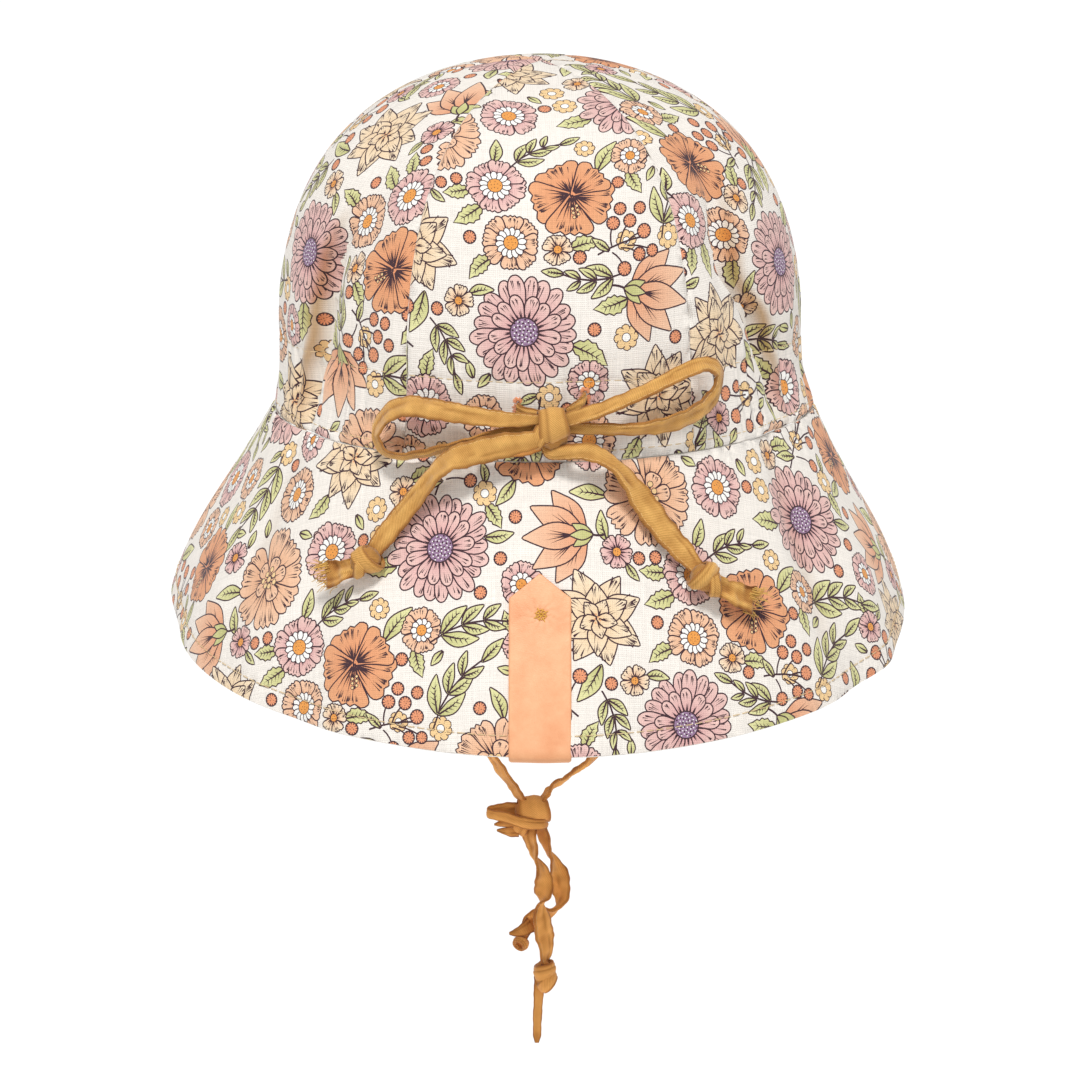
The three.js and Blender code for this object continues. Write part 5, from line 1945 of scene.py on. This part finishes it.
def tag_layer(x, fall, turn, leather):
    """Points of the tag. turn is how far it is folded round the hem there, leather how high it stands."""
    point, look = flap_frame(x, fall)
    down = np.stack([0 * look[..., 0], -look[..., 2], look[..., 1]], -1)
    down = unit(down * np.sign(-down[..., 2:3]))
    angle = np.radians(turn)[..., None]
    half_cloth = TAG_FLAP_CLOTH / 2
    middle = point - look * half_cloth
    out = (half_cloth + TAG_CLEARANCE + leather[..., None]) * np.cos(angle)
    low = (TAG_CLEARANCE + leather[..., None]) * np.sin(angle)
    return middle + look * out + down * low


def tag_rows():
    """Along the tag from its tip, round the hem and up the inside: (fall, turn)."""
    down = np.linspace(1 - TAG_TOP, 1, TAG_ROWS)[:-1]
    up = np.linspace(1, 1 - TAG_INNER_TOP, TAG_INNER_ROWS)[1:]
    falls = np.concatenate([down, np.ones(TAG_TURN_ROWS), up])
    return falls, np.concatenate([0 * down, np.linspace(0, 180, TAG_TURN_ROWS), 0 * up + 180])


def tag_spine():
    """The tag's rows, and how far along its middle line each one is: (falls, turns, run)."""
    falls, turns = tag_rows()
    still = np.zeros(len(falls))
    return falls, turns, run_along(tag_layer(still, falls, turns, still))


def star_creases(x, run):
    """The creases that run out from the star of stitches, and how deep it is drawn in."""
    off_x, off_run = x - TAG_STAR[0], run - TAG_STAR[1]
    off = np.hypot(off_x, off_run)
    way = np.arctan2(off_run, off_x)
    reach = 3.4 + 2.2 * abs(np.cos(way)) + 0.8 * np.sin(way * 5)
    creases = np.clip(np.sin(way * 11 + 1.4 * np.sin(off * 0.9)) - 0.2, 0, 1)
    creases = creases * np.clip((off - 0.9) / 1.2, 0, 1) * np.exp(-((off / reach) ** 2))
    return creases, 0.32 * np.exp(-((off / 1.6) ** 2)) + 0.16 * creases


def tag_faces(rows, columns):
    """The faces of the tag's outer side, its inner side and its rim, and the material of each."""
    under = rows * columns
    faces, slots = [], []

    def at(j, i):
        return j * columns + i

    def quad(a, b, c, d, material):
        faces.append((a, b, c, d))
        slots.append(material)

    for j in range(rows - 1):
        for i in range(columns - 1):
            a, b, c, d = at(j, i), at(j, i + 1), at(j + 1, i + 1), at(j + 1, i)
            quad(d, c, b, a, 0)
            quad(a + under, b + under, c + under, d + under, 1)
    rim = [at(0, i) for i in range(columns - 1)] + [at(j, columns - 1) for j in range(rows - 1)]
    rim += [at(rows - 1, i) for i in range(columns - 1, 0, -1)] + [at(j, 0) for j in range(rows - 1, 0, -1)]
    for a, b in zip(rim, rim[1:] + rim[:1]):
        quad(b, b + under, a + under, a, 1)
    return faces, slots


def leather_tag():
    """A pointed strip of leather, folded over the hem."""
    falls, turns, run = tag_spine()
    half = TAG_WIDTH / 2 * np.clip(0.03 + 0.97 * run / TAG_TIP_LENGTH, 0, 1)
    x = half[:, None] * np.sin(np.linspace(-1, 1, TAG_COLUMNS) * math.pi / 2)[None, :]
    fall, turn = np.broadcast_to(falls[:, None], x.shape), np.broadcast_to(turns[:, None], x.shape)
    down = run[:, None]
    edge = np.minimum(half[:, None] - abs(x), down * 0.8)
    edge = np.minimum(edge, run[-1] - down)
    creases, dimple = star_creases(x, down)
    bow = 0.12 * np.sin(down * 0.21 + 1) + 0.06 * np.sin(x * 0.5 + down * 0.13)
    rounded = 0.4 * np.clip(1 - edge / 0.7, 0, 1) ** 2
    outer = tag_layer(x, fall, turn, TAG_LEATHER + bow * 0.5 - dimple - rounded)
    inner = tag_layer(x, fall, turn, 0.04 + 0 * x)
    # painted shade round the fold over the hem and in the star's creases; darker along the edges
    hem = np.exp(-(((down - run[TAG_FOLD_SHADE_ROW]) / 1.9) ** 2))
    shading_and_edges = 1 - 0.16 * hem - 0.2 * creases - 0.16 * np.clip(1 - edge / 0.5, 0, 1)
    points = np.concatenate([outer.reshape(-1, 3), inner.reshape(-1, 3)])
    faces, slots = tag_faces(*x.shape)
    made = new_object("leather_tag_hide", points, faces, [LEATHER, LEATHER_EDGE])
    made.data.polygons.foreach_set("material_index", slots)
    store_shading_and_edges(made.data, np.tile(shading_and_edges.ravel(), 2)[corner_points(made.data)])
    return made


def tag_star():
    """Eight short stitches that meet in the middle of the star, and a ring of eight small ones."""
    falls, _, run = tag_spine()

    def at(offset, lift):
        fall = np.interp(TAG_STAR[1] + offset.imag, run[:TAG_ROWS], falls[:TAG_ROWS])
        place = np.array([TAG_STAR[0] + offset.real])
        return tag_layer(place, np.array([fall]), np.zeros(1), np.array([TAG_LEATHER + lift]))[0]

    paths = []
    for k, (way, side) in enumerate(zip(around(8, 0.3), around(8, 0.7))):
        long = 2.0 + 0.5 * (k % 2)
        stitch = ((0.25, -0.1), (0.8, 0.2), (long * 0.8, 0.14), (long, -0.2))
        paths.append([at(way * reach, lift) for reach, lift in stitch])
        small = ((1.3 - 0.4j, -0.1), (1.5, 0.12), (1.3 + 0.4j, -0.1))
        paths.append([at(side * offset, lift) for offset, lift in small])
    return strands("leather_tag_star", paths, 0.36, STAR_THREAD, 6)


LEATHER_EDGE = new_material("tag_leather_edge", 0.75, Base_Color=linear("#d9935f"))[0]
STAR_THREAD = thread("star_thread", "#e8b23c")
tag = leather_tag()
tag_stitches = tag_star()

# ---- stitches ----

TAN_THREAD = thread("tan_thread", "#dcc193")
PEACH_THREAD = thread("peach_thread", "#ee9f70")
TAPE_THREAD = thread("tape_thread", "#eec27c")
DARK_TAPE_THREAD = thread("dark_tape_thread", "#d9a262")


def over(surface, relief, a, b, step):
    """Points of a surface with its small dents, and its normals. a and b are the surface's two measures,
    and step is a small step in each."""
    across = surface(a + step[0], b) - surface(a - step[0], b)
    up = surface(a, b + step[1]) - surface(a, b - step[1])
    normal = unit(np.cross(across, up))
    return surface(a, b) + normal * relief(a, b)[:, None], normal


def stitch_row(name, points, normals, material, long=2.3, gap=0.9, thick=0.34):
    """A row of short stitches along points that lie close together."""
    run = run_along(points)
    starts = np.arange(0.4, run[-1] - long - 0.2, long + gap)
    paths = []
    for start in starts:
        marks = start + np.array([0, 0.12, 0.5, 0.88, 1]) * long
        lifts = np.array([-0.35, 0.05, 0.14, 0.05, -0.35]) * thick + 0.02
        centre = np.stack([np.interp(marks, run, points[:, i]) for i in range(3)], 1)
        normal = np.stack([np.interp(marks, run, normals[:, i]) for i in range(3)], 1)
        paths.append(centre + normal * lifts[:, None])
    return strands(name, paths, thick, material, 5)


def crown_at(azimuth, height):
    """The crown's plain surface at a height."""
    climbs = np.linspace(0, 1, 600)
    heights = CROWN_HEIGHT * (1 - (1 - climbs) ** 2 * (1 + ROW_EVENNESS * climbs))
    return crown_point(azimuth, np.interp(height, heights, climbs))


stitches = {}
for panel_name, start, end, _, _ in CROWN_PANELS:
    azimuths = np.linspace(start + 0.8, end - 0.8, 240)
    for row_name, height in (("casing", CASING_STITCH), ("seam", SEAM_STITCH)):
        points, normals = over(crown_at, crown_relief, azimuths, 0 * azimuths + height, (0.1, 0.1))
        made = stitch_row(f"{panel_name}_{row_name}_stitches", points, normals, TAN_THREAD)
        stitches[made.name] = made


def flap_up(azimuth, rise):
    """The flap with its fall turned round, so that its normals look out."""
    return flap_point(azimuth, -rise)


def flap_relief_up(azimuth, rise):
    """The flap's small dents, measured the same way."""
    return flap_relief(azimuth, -rise)


azimuths = np.linspace(-FLAP_END + 4, FLAP_END - 4, 900)
hem_points, seam_points = flap_point(azimuths, 0 * azimuths + 1), flap_point(azimuths, 0 * azimuths)
hem_slant = np.linalg.norm(hem_points - seam_points, axis=1)
hem_line = hem_share(azimuths) - HEM_STITCH / hem_slant
points, normals = over(flap_up, flap_relief_up, azimuths, -hem_line, (0.1, 0.002))
stitches["hem"] = stitch_row("neck_flap_hem_stitches", points, normals, TAN_THREAD)
azimuths = np.linspace(-PEAK_END + 3, PEAK_END - 3, 300)
for k, out in enumerate((0.1, 0.36, 0.62, 0.88)):
    points, normals = over(peak_point, peak_relief, azimuths, 0 * azimuths + out, (0.1, 0.004))
    stitches[f"peak{k}"] = stitch_row(f"front_peak_stitches_{k + 1}", points, normals, TAN_THREAD)

# Buttonholes where the drawstring comes out of the casing: satin stitches round an upright slot.
BUTTONHOLES = (("left", -6.5, 15.6), ("right", 13.4, 18.4))
SLOT_HALF_HEIGHT = 2.1
SLOT_HALF_WIDTH = 0.5
SATIN = 1.15  # how wide the band of satin stitches is
SATIN_STITCHES = 84
# dark strands that stand for the shadow in the slots: painted shade
SLOT_PAINTED_SHADE = thread("slot_painted_shade", "#5a3524")


def on_casing(x, marks):
    """Points and normals of the crown at marks (across and up, in millimetres) round a place x across."""
    offs = x + marks.real
    angle = np.degrees(np.arcsin(offs / (CROWN_HALF_WIDTH * (1 + 0.2 * SEAM_FLARE))))
    return over(crown_at, crown_relief, angle, marks.imag, (0.1, 0.1))


def buttonhole(side, x, z):
    """Satin stitches side by side round an upright slot."""
    luck = random.Random(3)
    paths = []
    for k in range(SATIN_STITCHES):
        way = turned(math.tau * k / SATIN_STITCHES + luck.uniform(-0.1, 0.1))
        spine = 1j * min(1, max(-1, way.imag * 1.6)) * (SLOT_HALF_HEIGHT - SLOT_HALF_WIDTH)
        reach = SATIN * luck.uniform(0.65, 1.25) * np.array([0, 0.2, 0.55, 0.85, 1])
        points, normals = on_casing(x, spine + way * (SLOT_HALF_WIDTH + reach) + 1j * z)
        paths.append(points + normals * np.array([-0.3, 0.1, 0.16, 0.08, -0.2])[:, None])
    return strands(f"buttonhole_{side}", paths, 0.3, PEACH_THREAD, 5)


def slot(side, x, z):
    """Painted shade: dark strands laid in a buttonhole's slot, where its opening lies in shadow."""
    paths = []
    for shift in (-0.3, 0, 0.3):
        points, normals = on_casing(x, shift + 1j * (z + np.linspace(-0.9, 0.9, 6) * SLOT_HALF_HEIGHT))
        paths.append(points - normals * 0.1)
    return strands(f"buttonhole_{side}_slot", paths, 0.5, SLOT_PAINTED_SHADE, 6)


for side, x, z in BUTTONHOLES:
    stitches["buttonhole_" + side] = buttonhole(side, x, z)
    stitches["slot_" + side] = slot(side, x, z)


def tape_edge(name):
    """The face of a tape along the seam near one of its edges, with its normals."""
    seed = tape_seed(name)
    line = along_rows(tape_routes[name], tape_steps(name))
    centre, look, width = line[:, :3], line[:, 3:6], line[:, 6]
    side, face, run = tape_frame(centre, look)
    share = np.array([TAPE_SEAM])
    lift = tape_lift(share, run, width, TAPE_CUP, 0.3, seed)[0][:, 0] + TAPE_THICK / 2
    half = half_widths(run, width, seed)
    return centre + side * (share * half)[:, None] + face * lift[:, None], face


tape_stitches = {}
for tape_name in ROUTES:
    points, normals = tape_edge(tape_name)
    thread_used = TAPE_THREAD if tape_name.startswith("bow") else DARK_TAPE_THREAD
    made = stitch_row(tape_name + "_stitches", points, normals, thread_used, 1.3, 0.55, 0.22)
    tape_stitches[tape_name] = made

# ---- light and floor ----


def sun_light(name, way, power, spread):
    """Even light that comes from a way, its spread in degrees."""
    data = bpy.data.lights.new(name, "SUN")
    data.energy = power
    data.angle = math.radians(spread)
    light = bpy.data.objects.new(name, data)
    bpy.context.collection.objects.link(light)
    light.rotation_euler = (-Vector(way)).to_track_quat("-Z", "Y").to_euler()


def make_floor():
    """A wide pale floor, far below the hat."""
    half = FLOOR_WIDTH / 2
    points = [(-half, -half, FLOOR), (half, -half, FLOOR), (half, half, FLOOR), (-half, half, FLOOR)]
    material, _, _ = new_material("floor", 0.9, Base_Color=linear("#fafafa"))
    return new_object("floor", points, [(0, 1, 2, 3)], [material])


def make_world():
    """White light from all round."""
    world = bpy.data.worlds.new("studio")
    world.use_nodes = True
    background = world.node_tree.nodes["Background"]
    background.inputs["Color"].default_value = (1, 1, 1, 1)
    background.inputs["Strength"].default_value = SKY_STRENGTH
    bpy.context.scene.world = world


FLOOR = -420
FLOOR_WIDTH = 30000
KEY_WAY = (-0.08, -0.85, 1.6)  # from the hat to its main light, above and behind it
KEY_STRENGTH = 2.35
KEY_SPREAD = 12
SKY_STRENGTH = 0.48
sun_light("key", KEY_WAY, KEY_STRENGTH, KEY_SPREAD)
make_world()
floor = make_floor()
bpy.context.scene.view_settings.view_transform = "Standard"

# ---- what each piece is ----

KNOTS = {
    "bow_knot": bow_knot,
    "bow_end_left": bow_end_left,
    "bow_end_right": bow_end_right,
    "chin_knot": chin_knot,
    "chin_end_left": chin_end_left,
}


def belongs(piece, cad_name):
    """Attaches a piece to the root, and hides the solid that it stands for, if any."""
    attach(piece, "root")
    if cad_name:
        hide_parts(cad_name)


for piece_name, (piece, _) in made_tapes.items():
    belongs(piece, piece_name)
for piece_name, pieces in KNOTS.items():
    for piece in pieces:
        belongs(piece, piece_name)
for piece_name, piece in cloth.items():
    belongs(piece, piece_name)
for piece in stitches.values():
    belongs(piece, None)
for piece in [*tape_stitches.values(), *chin_curl]:
    belongs(piece, None)
belongs(tag, "leather_tag")
belongs(tag_stitches, None)
